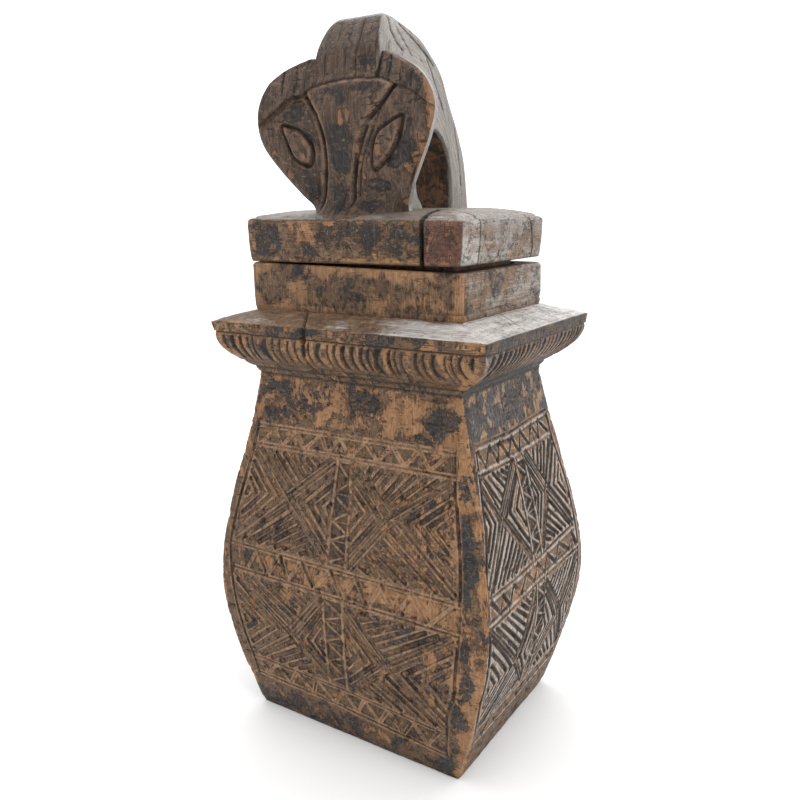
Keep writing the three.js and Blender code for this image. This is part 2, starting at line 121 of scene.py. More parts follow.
def cubic(knots: np.ndarray, values: np.ndarray, at: np.ndarray) -> np.ndarray:
    """Read a smooth curve through knots, the same Hermite cubic as the solids have.

    Each span weighs its own two knots and one more on each side; the end spans mirror their own.

    Args:
        knots: increasing positions.
        values: one value for each position.
        at: positions to read, inside the knots.

    Returns:
        The values of the curve there.
    """
    i = np.clip(np.searchsorted(knots, at, side="right") - 1, 0, len(knots) - 2)
    t0, t1 = knots[i], knots[i + 1]
    before, after = i - 1, i + 2
    t_before = np.where(before < 0, t1, knots[np.maximum(before, 0)])
    t_after = np.where(after >= len(knots), t0, knots[np.minimum(after, len(knots) - 1)])
    v_before = np.where(before < 0, values[i + 1], values[np.maximum(before, 0)])
    v_after = np.where(after >= len(knots), values[i], values[np.minimum(after, len(knots) - 1)])
    half = 0.5 * (t1 - t0)
    weight_before, weight_after = half / (t0 - t_before), half / (t_after - t1)
    p = (at - t0) / (t1 - t0)
    p2, p3 = p * p, p * p * p
    s_before = -weight_before * p3 + 2 * weight_before * p2 - weight_before * p
    s_0 = (1 + weight_before) * p3 + (-1.5 - 2 * weight_before) * p2 + (weight_before - 0.5) * p + 1
    s_1 = (-1 - weight_after) * p3 + (1.5 + weight_after) * p2 + 0.5 * p
    s_after = weight_after * p3 - weight_after * p2
    return s_before * v_before + s_0 * values[i] + s_1 * values[i + 1] + s_after * v_after


# Noise


def lattice(ix: np.ndarray, iy: np.ndarray, iz: np.ndarray, seed: int) -> np.ndarray:
    """Give each lattice corner its own fixed number by mixing the bits of its three counts.

    Args:
        ix: whole numbers along X.
        iy: whole numbers along Y.
        iz: whole numbers along Z.
        seed: which of many such lattices.

    Returns:
        Numbers from 0 to 1.
    """
    mix = ix * np.uint32(374761393) + iy * np.uint32(668265263) + iz * np.uint32(2246822519)
    mix = mix + np.uint32((seed * 3266489917) & 0xFFFFFFFF)
    mix = (mix ^ (mix >> np.uint32(13))) * np.uint32(1274126177)
    mix = (mix ^ (mix >> np.uint32(15))) * np.uint32(2654435761)
    return ((mix ^ (mix >> np.uint32(16))) & np.uint32(0xFFFFFF)).astype(np.float64) / 16777215.0


def noise(points: np.ndarray, size: float | tuple[float, float, float], seed: int,
          octaves: int = 1) -> np.ndarray:
    """Smooth value noise: lattice numbers blended by 3t² - 2t³, each octave half as large and as strong.

    Args:
        points: N by 3 positions.
        size: lattice spacing, one for all axes or one for each.
        seed: which noise.
        octaves: how many layers are added.

    Returns:
        N numbers between about -1 and 1.
    """
    total = np.zeros(len(points))
    scaled = points / np.asarray(size, float)
    strength = 1.0
    for octave in range(octaves):
        cell = np.floor(scaled)
        t = scaled - cell
        t = t * t * (3.0 - 2.0 * t)
        corner = cell.astype(np.int64).astype(np.uint32)
        value = 0.0
        for dx in (0, 1):
            for dy in (0, 1):
                for dz in (0, 1):
                    weight = (t[:, 0] if dx else 1 - t[:, 0]) * (t[:, 1] if dy else 1 - t[:, 1])
                    weight = weight * (t[:, 2] if dz else 1 - t[:, 2])
                    step = [corner[:, k] + np.uint32(d) for k, d in enumerate((dx, dy, dz))]
                    value = value + weight * lattice(step[0], step[1], step[2], seed + 101 * octave)
        total += strength * (2.0 * value - 1.0)
        strength *= 0.5
        scaled = scaled * 2.03
    return total


def blurred(field_in: np.ndarray, reach: int, passes: int = 2) -> np.ndarray:
    """Average a field over a square window, several times over, by running sums.

    Args:
        field_in: rows by columns.
        reach: cells on each side of the middle one.
        passes: how often the average is taken.

    Returns:
        The blurred field.
    """
    out = field_in
    for _ in range(passes):
        for axis in (0, 1):
            pads = [(reach + 1, reach) if a == axis else (0, 0) for a in (0, 1)]
            total = np.cumsum(np.pad(out, pads, mode="edge"), axis=axis)
            count = out.shape[axis]
            upper = np.take(total, np.arange(2 * reach + 1, 2 * reach + 1 + count), axis=axis)
            lower = np.take(total, np.arange(0, count), axis=axis)
            out = (upper - lower) / (2 * reach + 1)
    return out


# Carving on a flat sheet


class Relief:
    """A sheet of knife cuts: how deep the wood is cut at each place of a flat face."""

    def __init__(self, left: float, right: float, low: float, high: float, step: float, seed: int) -> None:
        """Lay out an uncut sheet.

        Args:
            left: smallest position across.
            right: largest position across.
            low: smallest height.
            high: largest height.
            step: spacing of the cells.
            seed: starts the hand's small irregularities.
        """
        self.left, self.low, self.step = left, low, step
        self.across = np.arange(left, right + step, step)
        self.up = np.arange(low, high + step, step)
        self.depth = np.zeros((len(self.up), len(self.across)))
        self.pale = np.zeros(self.depth.shape)
        self.stain = np.zeros(self.depth.shape)
        self.steep = np.zeros(self.depth.shape)
        self.hand = np.random.default_rng(seed)

    def slip(self, amount: float) -> np.ndarray:
        """Draw one small slip of the hand, across and up."""
        return self.hand.normal(0, amount, 2)

    def window(self, points: np.ndarray, reach: float) -> tuple[slice, slice, np.ndarray, np.ndarray]:
        """Find the cells within reach of some points.

        Args:
            points: K by 2 positions.
            reach: margin round them.

        Returns:
            Row slice, column slice, and the positions of those cells across and up.
        """
        low = np.floor((points.min(0) - reach - (self.left, self.low)) / self.step).astype(int)
        high = np.ceil((points.max(0) + reach - (self.left, self.low)) / self.step).astype(int) + 1
        cols = slice(max(low[0], 0), min(high[0], len(self.across)))
        rows = slice(max(low[1], 0), min(high[1], len(self.up)))
        u, v = np.meshgrid(self.across[cols], self.up[rows])
        return rows, cols, u, v

    def groove(self, start: Point, end: Point, width: float, depth: float, jitter: float = 0.35,
               steep: float = 1.0) -> None:
        """Cut a groove: depth · steep · (1 - distance from the line / half width), held at 1, deepest kept.

        The line bows a little and the depth varies along it, as a pulled knife leaves it.

        Args:
            start: one end.
            end: the other end.
            width: width at the face.
            depth: depth on the line.
            jitter: how far the ends wander.
            steep: 1 for a V, more for steeper sides and a flat floor.
        """
        a = np.asarray(start, float) + self.slip(jitter)
        b = np.asarray(end, float) + self.slip(jitter)
        length = float(np.hypot(*(b - a)))
        if length < 1.0:
            return
        depth = depth * (1 + 0.16 * self.hand.normal())
        width = width * (1 + 0.08 * self.hand.normal())
        bow, phase = 0.25 * self.hand.normal(), self.hand.uniform(0, 6.28)
        direction = (b - a) / length
        rows, cols, u, v = self.window(np.array([a, b]), width + 1.0)
        if u.size == 0:
            return
        t = (u - a[0]) * direction[0] + (v - a[1]) * direction[1]
        off = (v - a[1]) * direction[0] - (u - a[0]) * direction[1]
        share = np.clip(t / length, 0, 1)
        off = off - bow * np.sin(3.1 * share + phase)
        past = np.maximum(np.maximum(-t, t - length), 0)
        distance = np.hypot(off, 1.6 * past)
        fade = 0.82 + 0.18 * np.sin(5.0 * share + 2 * phase)
        share = np.clip(steep * (1 - distance / (0.5 * width)), 0, 1) ** 0.85
        self.depth[rows, cols] = np.maximum(self.depth[rows, cols], depth * fade * share)
        self.pale[rows, cols] *= 1 - share

    def path(self, points: Line, width: float, depth: float, closed: bool = False) -> None:
        """Cut one groove along a broken line, rounded at its corners.

        Args:
            points: the corners.
            width: width at the face.
            depth: depth on the line.
            closed: whether the last corner joins the first.
        """
        fine = rounded_path(np.asarray(points, float), closed)
        rows, cols, u, v = self.window(fine, width + 1.0)
        nearest = np.full(u.shape, 1e9)
        for a, b in zip(fine[:-1], fine[1:]):
            span = b - a
            t = np.clip(((u - a[0]) * span[0] + (v - a[1]) * span[1]) / max(span @ span, 1e-9), 0, 1)
            nearest = np.minimum(nearest, np.hypot(u - a[0] - t * span[0], v - a[1] - t * span[1]))
        cut = depth * np.clip(1 - nearest / (0.5 * width), 0, 1) ** 0.85
        self.depth[rows, cols] = np.maximum(self.depth[rows, cols], cut)

    def ridge(self, start: Point, end: Point, width: float, jitter: float = 0.3) -> None:
        """Leave a line standing: near it the cut is multiplied by the eased distance, 0 on the line.

        The line is marked pale, as hands rub it; the pale is partly a painted highlight on its crest.

        Args:
            start: one end.
            end: the other end.
            width: width of the line at the face.
            jitter: how far the ends wander.
        """
        a = np.asarray(start, float) + self.slip(jitter)
        b = np.asarray(end, float) + self.slip(jitter)
        length = float(np.hypot(*(b - a)))
        if length < 1.0:
            return
        direction = (b - a) / length
        rows, cols, u, v = self.window(np.array([a, b]), width + 1.0)
        if u.size == 0:
            return
        t = (u - a[0]) * direction[0] + (v - a[1]) * direction[1]
        off = (v - a[1]) * direction[0] - (u - a[0]) * direction[1]
        bow, phase = 0.25 * self.hand.normal(), self.hand.uniform(0, 6.28)
        off = off - bow * np.sin(3.1 * np.clip(t / length, 0, 1) + phase)
        distance = np.hypot(off, np.maximum(np.maximum(-t, t - length), 0))
        lift = 0.1 + 0.9 * smooth(distance, 0.28 * width, 0.95 * width)
        self.depth[rows, cols] *= lift
        self.pale[rows, cols] = np.maximum(self.pale[rows, cols],
                                           1 - smooth(distance, 0.3 * width, 0.8 * width))

    def chip(self, corners: Line, depth: float, stain: float = 0.0) -> None:
        """Sink a convex field: depth times the eased distance inside its nearest edge.

        Args:
            corners: the corners, in either turning direction.
            depth: how deep its floor lies.
            stain: how dirty its floor is.
        """
        poly = np.asarray(corners, float)
        turn = np.sign(np.cross(poly[1] - poly[0], poly[2] - poly[1]))
        rows, cols, u, v = self.window(poly, 0.5)
        inside = np.full(u.shape, 1e9)
        for a, b in zip(poly, np.roll(poly, -1, axis=0)):
            d = (b - a) / max(np.hypot(*(b - a)), 1e-9)
            inside = np.minimum(inside, turn * (d[0] * (v - a[1]) - d[1] * (u - a[0])))
        cut = depth * smooth(inside, 0.0, 1.4)
        self.stain[rows, cols] = np.maximum(self.stain[rows, cols], stain * smooth(inside, 0.0, 1.4))
        self.depth[rows, cols] = np.maximum(self.depth[rows, cols], cut)

    def worn(self, reach: int) -> None:
        """Rub the sheet down: make the cuts uneven by up to a third, then blur them over a few cells.

        The steepness is the length of the blurred depth's gradient.

        Args:
            reach: cells on each side that the blur takes in.
        """
        u, v = np.meshgrid(self.across, self.up)
        flat = np.stack([u.ravel(), v.ravel(), 0 * u.ravel()], -1)
        uneven = 1 + 0.2 * noise(flat, 13, 201, 2) + 0.2 * noise(flat, 2.4, 202, 2)
        self.depth = blurred(self.depth * uneven.reshape(u.shape), reach, 1)
        self.pale = blurred(self.pale, reach, 1)
        self.steep = blurred(np.hypot(*np.gradient(self.depth, self.step)), reach, 1)

    def read(self, sheet: np.ndarray, u: np.ndarray, v: np.ndarray) -> np.ndarray:
        """Read a sheet between its cells, blending the four nearest.

        Args:
            sheet: depth, or a sheet made from it.
            u: positions across.
            v: heights.

        Returns:
            The blended values.
        """
        x = np.clip((u - self.left) / self.step, 0, len(self.across) - 1.001)
        y = np.clip((v - self.low) / self.step, 0, len(self.up) - 1.001)
        i, j = x.astype(int), y.astype(int)
        s, t = x - i, y - j
        top = sheet[j + 1, i] * (1 - s) + sheet[j + 1, i + 1] * s
        bottom = sheet[j, i] * (1 - s) + sheet[j, i + 1] * s
        return bottom * (1 - t) + top * t


def rounded_path(points: np.ndarray, closed: bool) -> np.ndarray:
    """Run a Catmull-Rom curve through points, eight steps between neighbours.

    Args:
        points: K by 2 corners.
        closed: whether it comes back to its start.

    Returns:
        The finer line.
    """
    ring = np.vstack([points, points[:1]]) if closed else points
    before = np.vstack([ring[-2:-1] if closed else ring[:1], ring[:-1]])[:-1]
    after = np.vstack([ring[1:], ring[1:2] if closed else ring[-1:]])[1:]
    p0, p1, p2, p3 = before, ring[:-1], ring[1:], after
    t = (np.arange(8) / 8)[None, :, None]
    p0, p1, p2, p3 = (p[:, None, :] for p in (p0, p1, p2, p3))
    curve = 0.5 * (2 * p1 + (p2 - p0) * t + (2 * p0 - 5 * p1 + 4 * p2 - p3) * t**2
                   + (3 * p1 - p0 - 3 * p2 + p3) * t**3)
    return np.vstack([curve.reshape(-1, 2), ring[-1:]])


# Meshes


def grid_faces(rows: int, cols: int, wrap_rows: bool, wrap_cols: bool) -> np.ndarray:
    """Join each grid point to its right, upper right and upper neighbours as one quad.

    Args:
        rows: points along the profile.
        cols: points along the perimeter.
        wrap_rows: whether the last row joins the first.
        wrap_cols: whether the last column joins the first.

    Returns:
        N by 4 vertex numbers.
    """
    r = np.arange(rows if wrap_rows else rows - 1)
    c = np.arange(cols if wrap_cols else cols - 1)
    r, c = np.meshgrid(r, c, indexing="ij")
    up, right = (r + 1) % rows, (c + 1) % cols
    quads = np.stack([r * cols + c, r * cols + right, up * cols + right, up * cols + c], -1)
    return quads.reshape(-1, 4)


def end_caps(rows: int, count: int) -> tuple[np.ndarray, np.ndarray]:
    """Close a grid's first and last ring of points, each by one face that looks away from the other."""
    return np.arange(count)[::-1], (rows - 1) * count + np.arange(count)


def outward(points: np.ndarray, quads: np.ndarray) -> bool:
    """Tell whether quads face out: the sum of a · (b × c) over their halves is then positive.

    Args:
        points: N by 3 positions.
        quads: M by 4 vertex numbers.

    Returns:
        True where the faces turn outwards.
    """
    a, b, c, d = (points[quads[:, k]] for k in range(4))
    return float((a * np.cross(b, c)).sum() + (a * np.cross(c, d)).sum()) > 0


def write_values(mesh: bpy.types.Mesh, values: dict[str, np.ndarray], flow: np.ndarray) -> None:
    """Keep each point's numbers under their names, and its place in the grain as flow.

    Args:
        mesh: the mesh.
        values: one number for each point, by attribute name.
        flow: N by 3 places in the grain, in millimetres.
    """
    for key, numbers in values.items():
        layer = mesh.attributes.new(key, "FLOAT", "POINT")
        layer.data.foreach_set("value", np.asarray(numbers, np.float32))
    grain = mesh.attributes.get("flow") or mesh.attributes.new("flow", "FLOAT_VECTOR", "POINT")
    grain.data.foreach_set("vector", (flow * MM).astype(np.float32).ravel())


def make_mesh(
    name: str,
    points: np.ndarray,
    quads: np.ndarray,
    caps: tuple[np.ndarray, ...] = (),
    values: dict[str, np.ndarray] | None = None,
) -> bpy.types.Object:
    """Put points, quads and flat caps into a new object at the origin, smooth but for its caps.

    Faces that would turn inwards are turned round. Each point also keeps its place in the grain, which
    is its own position unless the values give one.

    Args:
        name: the piece's name.
        points: N by 3 positions in millimetres.
        quads: M by 4 vertex numbers.
        caps: rings of vertex numbers, each closed by one face.
        values: one number for each point, by attribute name.

    Returns:
        The new object, linked to the scene.
    """
    mesh = bpy.data.meshes.new(name)
    values = dict(values or {})
    flow = values.pop("flow", points)
    if len(quads) > 1 and not outward(points, quads):
        quads, caps = quads[:, ::-1], tuple(c[::-1] for c in caps)
    sizes = np.concatenate([np.full(len(quads), 4), [len(c) for c in caps]]).astype(np.int32)
    corners = np.concatenate([quads.ravel(), *caps]).astype(np.int32)
    mesh.vertices.add(len(points))
    mesh.vertices.foreach_set("co", (points * MM).astype(np.float32).ravel())
    mesh.loops.add(len(corners))
    mesh.loops.foreach_set("vertex_index", corners)
    mesh.polygons.add(len(sizes))
    mesh.polygons.foreach_set("loop_start", np.concatenate([[0], np.cumsum(sizes)[:-1]]).astype(np.int32))
    mesh.update(calc_edges=True)
    flat = np.ones(len(sizes), bool)
    flat[len(quads) :] = False
    mesh.polygons.foreach_set("use_smooth", flat)
    write_values(mesh, values, flow)
    mesh.validate()
    piece = bpy.data.objects.new(name, mesh)
    bpy.context.scene.collection.objects.link(piece)
    return piece


def settle(piece: bpy.types.Object, body: str, node: str, material: bpy.types.Material) -> bpy.types.Object:
    """Hand a piece over: it takes its finish, rides on a body, and stands for a node, which is hidden.

    Args:
        piece: the finished piece.
        body: the body that it moves with.
        node: the solid that it replaces, which is hidden.
        material: what it is made of.

    Returns:
        The same piece.
    """
    piece.data.materials.clear()
    piece.data.materials.append(material)
    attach(piece, body)
    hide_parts(node)
    LOG.info("%s: %d faces", piece.name, len(piece.data.polygons))
    return piece


# Rounded rectangles

FLAT_SHARE = 0.955


@dataclass(frozen=True)
class Ring:
    """A point of a rounded rectangle for each turn from 0 to 4, with what is known about it."""

    x: np.ndarray
    y: np.ndarray
    out_x: np.ndarray
    out_y: np.ndarray
    side: np.ndarray
    place: np.ndarray
    corner: np.ndarray

    def normals(self) -> np.ndarray:
        """List the level outward directions, point by point."""
        return np.stack([self.out_x, self.out_y, 0 * self.out_x], -1).reshape(-1, 3)


def ring_at(turn: np.ndarray, half_x: np.ndarray, half_y: np.ndarray, radius: np.ndarray) -> Ring:
    """Walk round a rounded rectangle, one turn for each side with the corner that ends it.

    On the flat share of a side the point slides straight; then it swings a quarter circle by the sine
    and cosine of the rest of the share.

    Args:
        turn: 0 at the left end of the front, 1 at the front end of the right side, and so on.
        half_x: half of the width.
        half_y: half of the depth.
        radius: corner radius.

    Returns:
        The points, their outward directions, their side, their place along it and the corner's share.
    """
    turn, half_x, half_y, radius = np.broadcast_arrays(turn, half_x, half_y, radius)
    side = np.floor(turn).astype(int) % 4
    share = turn - np.floor(turn)
    odd = side % 2 == 1
    reach, away = np.where(odd, half_y, half_x), np.where(odd, half_x, half_y)
    run = reach - radius
    swing = np.clip((share - FLAT_SHARE) / (1 - FLAT_SHARE), 0, 1) * math.pi / 2
    slide = np.where(share < FLAT_SHARE, run * (2 * share / FLAT_SHARE - 1), run + radius * np.sin(swing))
    out = away - radius + radius * np.cos(swing)
    ax, ay = np.choose(side, [1, 0, -1, 0]), np.choose(side, [0, 1, 0, -1])
    ox, oy = np.choose(side, [0, 1, 0, -1]), np.choose(side, [-1, 0, 1, 0])
    out_x = ox * np.cos(swing) + ax * np.sin(swing)
    out_y = oy * np.cos(swing) + ay * np.sin(swing)
    to_corner = np.minimum(run - np.abs(np.where(share < FLAT_SHARE, slide, run)), run)
    return Ring(ax * slide + ox * out, ay * slide + oy * out, out_x, out_y, side, slide, to_corner)


def turns(start: float, end: float, flat: int, arc: int) -> np.ndarray:
    """List turn values from start to end, evenly on the flats and again on the corners.

    Args:
        start: first turn.
        end: last turn, included.
        flat: steps on each whole flat.
        arc: steps on each whole corner.

    Returns:
        Increasing turn values.
    """
    marks = [start]
    for k in range(int(math.floor(start)), int(math.ceil(end)) + 1):
        marks += [m for m in (k, k + FLAT_SHARE) if start < m < end]
    marks.append(end)
    parts = []
    for a, b in zip(marks[:-1], marks[1:]):
        on_flat = (0.5 * (a + b)) % 1 < FLAT_SHARE
        whole = FLAT_SHARE if on_flat else 1 - FLAT_SHARE
        count = max(1, round((flat if on_flat else arc) * (b - a) / whole))
        parts.append(np.linspace(a, b, count, endpoint=False))
    return np.concatenate([*parts, [end]])


def stacked(rows: list[tuple[float, ...]], turn: np.ndarray) -> tuple[Ring, np.ndarray]:
    """Stack rounded rectangles, one for each row of half width, half depth, corner radius and height.

    Args:
        rows: the rings, from first to last.
        turn: turn of each column.

    Returns:
        The rings, and their points row by row.
    """
    table = np.asarray(rows, float)
    ring = ring_at(turn[None, :], table[:, :1], table[:, 1:2], table[:, 2:3])
    z = np.broadcast_to(table[:, 3:4], ring.x.shape)
    return ring, np.stack([ring.x, ring.y, z], -1).reshape(-1, 3)


# Finishes


def add_node(
    tree: bpy.types.NodeTree, kind: str, inputs: dict[str | int, object] | None = None, **settings: object
) -> bpy.types.Node:
    """Add one node, with its settings and with each input a number, a colour or a link.

    Args:
        tree: where the node goes.
        kind: its type.
        inputs: values or output sockets, by the input's name or place.
        settings: the node's own properties.

    Returns:
        The new node.
    """
    node = tree.nodes.new(kind)
    for key, value in settings.items():
        setattr(node, key, value)
    for key, value in (inputs or {}).items():
        if isinstance(value, bpy.types.NodeSocket):
            tree.links.new(value, node.inputs[key])
        else:
            node.inputs[key].default_value = value
    return node


@dataclass(frozen=True)
class AgedHardwood:
    """Carved hardwood under a smoky hand-rubbed patina, with old soot paint and bare worn places.

    The eye sees a dull brown skin with a low sheen, tan wood where hands and edges rub it bare,
    charcoal flakes of paint that sit on top, silver-grey fibres where rain and light got at it, pale
    crests on the carving, worn and partly a painted highlight, and near-black dirt and painted shade in
    every cut. Vertex values for dirt and shade, bare wood, paint, grey and wear say where; the vector
    named flow gives each point's place in the grain, fibres along Z.
    """

    name: str
    wood_light: str = "#b58a62"
    wood_dark: str = "#835c3b"
    patina_light: str = "#876b51"
    patina_dark: str = "#402c1d"
    paint_light: str = "#3d3f42"
    paint_dark: str = "#151518"
    grey_light: str = "#aaa49d"
    grey_dark: str = "#6c655e"
    # Pale colour of wear, also used for painted highlights on crests, flute backs and rims.
    worn: str = "#a47f5f"
    # Near-black colour of dirt and of painted shade in cuts and hollows.
    dirt_and_shade: str = "#120c08"
    skin_span: Point = (0.45, 0.76)
    bare_span: Point = (0.46, 0.57)
    paint_span: Point = (0.47, 0.54)
    fleck: float = 1.0
    swirl: float = 0.7
    roughness: float = 0.55
    bump_mm: float = 0.5

    def build(self) -> bpy.types.Material:
        """Build the node tree: patina and bare wood, then soot paint, pale crests with painted highlights,
        silver, and dirt with painted shade.

        Returns:
            The material.
        """
        material = bpy.data.materials.new(self.name)
        material.use_nodes = True
        tree = material.node_tree
        tree.nodes.clear()
        place = add_node(tree, "ShaderNodeAttribute", attribute_name="flow").outputs["Vector"]
        fibre = self.cloud(tree, place, (0.8, 0.8, 13), 6.0, 0.62)
        band = self.cloud(tree, place, (4.5, 4.5, 80), 3.0, 0.5)
        fleck_a = self.cloud(tree, place, (4.2, 4.2, 6.0), 6.0, 0.68, self.swirl)
        fleck_b = self.cloud(tree, place, (3.8, 3.8, 5.4), 6.0, 0.68, self.swirl, 0.4)
        blotch_a = self.cloud(tree, place, (13, 13, 15), 7.0, 0.62, self.swirl, 0.9)
        blotch_b = self.cloud(tree, place, (15, 15, 17), 7.0, 0.62, self.swirl, 1.7)
        dirt_and_shade, bare, paint, grey, worn = (self.value(tree, key)
                                         for key in ("dirt_and_shade", "bare", "paint", "grey", "worn"))
        wood = self.mix(tree, self.total(tree, (fibre, 0.5), (band, 0.3), (fleck_b, 0.4)),
                        self.wood_dark, self.wood_light, (0.45, 0.82))
        skin = self.mix(tree, self.total(tree, (fibre, 0.35), (fleck_a, 0.5), (blotch_b, 0.35)),
                        self.patina_dark, self.patina_light,
                        self.skin_span)
        scales = self.cells(tree, place, (3.4, 3.4, 5.6))
        soot = self.blend(tree, self.ramp(tree, fleck_a, (0.35, 0.7), (0.0, 1.0)),
                          to_linear(self.paint_dark), to_linear(self.paint_light))
        soot = self.blend(tree, self.math(tree, "MULTIPLY", scales,
                                          self.ramp(tree, fleck_b, (0.4, 0.6), (0.0, 0.5))), soot,
                          to_linear(self.patina_light))
        silver = self.mix(tree, self.total(tree, (fibre, 0.55), (band, 0.35), (blotch_a, 0.4)),
                          self.grey_dark, self.grey_light, (0.42, 0.8))
        bare_at = self.torn(tree, bare, (fleck_a, 0.9 * self.fleck), (blotch_a, 1.5), (fibre, 0.5),
                            self.bare_span, 0.95)
        paint_at = self.torn(tree, paint, (fleck_b, 1.1 * self.fleck), (blotch_b, 1.7), (fibre, 0.45),
                             self.paint_span, 0.95)
        grey_at = self.torn(tree, grey, (fibre, 0.5), (fleck_b, 0.6), (band, 0.4), (0.2, 0.75), 0.95)
        # The worn value carries wear and painted highlights alike; both take the pale worn colour.
        wear_and_highlight_at = self.math(tree, "MULTIPLY", worn, self.ramp(tree, fleck_b, (0.36, 0.6), (0.25, 0.95)))
        colour = self.blend(tree, bare_at, skin, wood)
        colour = self.blend(tree, paint_at, colour, soot)
        brown = self.math(tree, "SUBTRACT", 1.0, grey_at)
        scrape = self.ramp(tree, self.cloud(tree, place, (5.5, 5.5, 0.8), 2.0, 0.5, 0.3, 6.7),
                           (0.6, 0.68), (0.0, 0.55))
        wear_and_highlight_at = self.math(tree, "MAXIMUM", wear_and_highlight_at,
                            self.math(tree, "MULTIPLY", scrape,
                                      self.ramp(tree, blotch_a, (0.42, 0.58), (0.15, 1.0))))
        colour = self.blend(tree, wear_and_highlight_at, colour, to_linear(self.worn))
        colour = self.blend(tree, grey_at, colour, silver)
        nick = self.ramp(tree, self.cloud(tree, place, (1.3, 1.3, 2.0), 2.0, 0.5, 0.6, 3.1),
                         (0.64, 0.73), (0.0, 0.8))
        scratch = self.ramp(tree, self.cloud(tree, place, (7.0, 7.0, 0.9), 2.0, 0.5, 0.3, 5.3),
                            (0.58, 0.66), (0.0, 0.85))
        scratch = self.math(tree, "MULTIPLY", scratch, brown)
        nick = self.math(tree, "MAXIMUM", nick,
                         self.math(tree, "MULTIPLY", scratch,
                                   self.ramp(tree, blotch_b, (0.42, 0.58), (0.15, 1.0))))
        lips = self.math(tree, "MAXIMUM", self.lip(tree, bare_at), self.lip(tree, paint_at))
        marks = self.math(tree, "MAXIMUM", nick,
                          self.math(tree, "MULTIPLY", lips,
                                    self.ramp(tree, fleck_a, (0.4, 0.6), (0.2, 0.95))))
        # The dirt value, which is also painted shade in cuts and hollows, is mottled and joins nicks and
        # paint rims in the near-black colour.
        grime_and_relief_shading = self.math(tree, "MULTIPLY", dirt_and_shade, self.ramp(tree, fleck_a, (0.25, 0.62), (1.0, 0.75)))
        colour = self.blend(tree, self.math(tree, "MAXIMUM", grime_and_relief_shading, marks), colour, to_linear(self.dirt_and_shade))
        rough = self.ramp(tree, fleck_a, (0.3, 0.7), (self.roughness - 0.1, self.roughness + 0.12))
        rough = self.total(tree, (rough, 1.0), (grey_at, -0.22))
        relief = self.total(tree, (fibre, 0.5), (fleck_a, 1.0), (paint_at, 0.9),
                            (marks, -0.8), (scales, -0.3))
        bump = add_node(tree, "ShaderNodeBump",
                        {"Height": relief, "Distance": self.bump_mm * MM, "Strength": 1.0})
        shader = add_node(
            tree,
            "ShaderNodeBsdfPrincipled",
            {"Base Color": colour, "Roughness": rough, "Normal": bump.outputs[0], "IOR": 1.5,
             "Specular IOR Level": 0.36},
        )
        add_node(tree, "ShaderNodeOutputMaterial", {"Surface": shader.outputs[0]})
        return material

    def cloud(
        self, tree: bpy.types.NodeTree, place: object, size: tuple[float, float, float],
        detail: float, rough: float,
        swirl: float = 0.0, offset: float = 0.0
    ) -> object:
        """Noise from 0 to 1 whose lumps have a given size in mm across, through and along the grain.

        Args:
            tree: where the nodes go.
            place: each point's place in the grain.
            size: size of a lump in mm.
            detail: how many finer layers it has.
            rough: how strong the finer layers are.
            swirl: how far it is stirred.
            offset: which part of the noise is read.

        Returns:
            The noise.
        """
        scale = [1 / (length * MM) for length in size]
        inputs = {"Vector": place, "Scale": scale, "Location": (7 * offset, 13 * offset, 29 * offset)}
        moved = add_node(tree, "ShaderNodeMapping", inputs).outputs[0]
        inputs = {"Vector": moved, "Scale": 1.0, "Detail": detail, "Roughness": rough, "Distortion": swirl}
        return add_node(tree, "ShaderNodeTexNoise", inputs).outputs[0]

    def cells(self, tree: bpy.types.NodeTree, place: object, size: tuple[float, float, float]) -> object:
        """Thin lines between cells of a given size in mm, 1 on the line: dry paint splits along them.

        Args:
            tree: where the nodes go.
            place: each point's place in the grain.
            size: size of a cell in mm.

        Returns:
            The lines.
        """
        moved = add_node(tree, "ShaderNodeMapping",
                         {"Vector": place, "Scale": [1 / (length * MM) for length in size]}).outputs[0]
        gap = add_node(tree, "ShaderNodeTexVoronoi", {"Vector": moved, "Scale": 1.0},
                       feature="DISTANCE_TO_EDGE").outputs["Distance"]
        return self.ramp(tree, gap, (0.0, 0.09), (1.0, 0.0))

    def value(self, tree: bpy.types.NodeTree, key: str) -> object:
        """Read one of the mesh's own values."""
        return add_node(tree, "ShaderNodeAttribute", attribute_name=key).outputs["Fac"]

    def math(self, tree: bpy.types.NodeTree, how: str, a: object, b: object) -> object:
        """Combine two numbers."""
        return add_node(tree, "ShaderNodeMath", {0: a, 1: b}, operation=how).outputs[0]

    def total(self, tree: bpy.types.NodeTree, *terms: tuple[object, float]) -> object:
        """Add up numbers, each times its own constant.

        Args:
            tree: where the nodes go.
            terms: numbers with their constants.

        Returns:
            The sum.
        """
        total = 0.0
        for value, weight in terms:
            total = add_node(tree, "ShaderNodeMath", {0: value, 1: weight, 2: total},
                             operation="MULTIPLY_ADD").outputs[0]
        return total

    def ramp(self, tree: bpy.types.NodeTree, value: object, span: Point, to: Point) -> object:
        """Ease a number from one span to another.

        Args:
            tree: where the nodes go.
            value: the number.
            span: where it comes from.
            to: where it goes.

        Returns:
            The eased number.
        """
        inputs = {"Value": value, "From Min": span[0], "From Max": span[1], "To Min": to[0],
                  "To Max": to[1]}
        return add_node(tree, "ShaderNodeMapRange", inputs, interpolation_type="SMOOTHSTEP").outputs[0]

    def torn(self, tree: bpy.types.NodeTree, mask: object, *terms: object) -> object:
        """Tear a mask up: mask + sum of weight · (noise - ½), eased over a span and cut at a top value.

        Args:
            tree: where the nodes go.
            mask: the soft mask.
            terms: noises with their weights, then the span and the top value.

        Returns:
            The mask with torn edges.
        """
        *clouds, span, top = terms
        middle = sum(weight for _, weight in clouds) / 2
        shifted = self.math(tree, "SUBTRACT", self.total(tree, (mask, 1.0), *clouds), middle)
        return self.ramp(tree, shifted, span, (0.0, top))

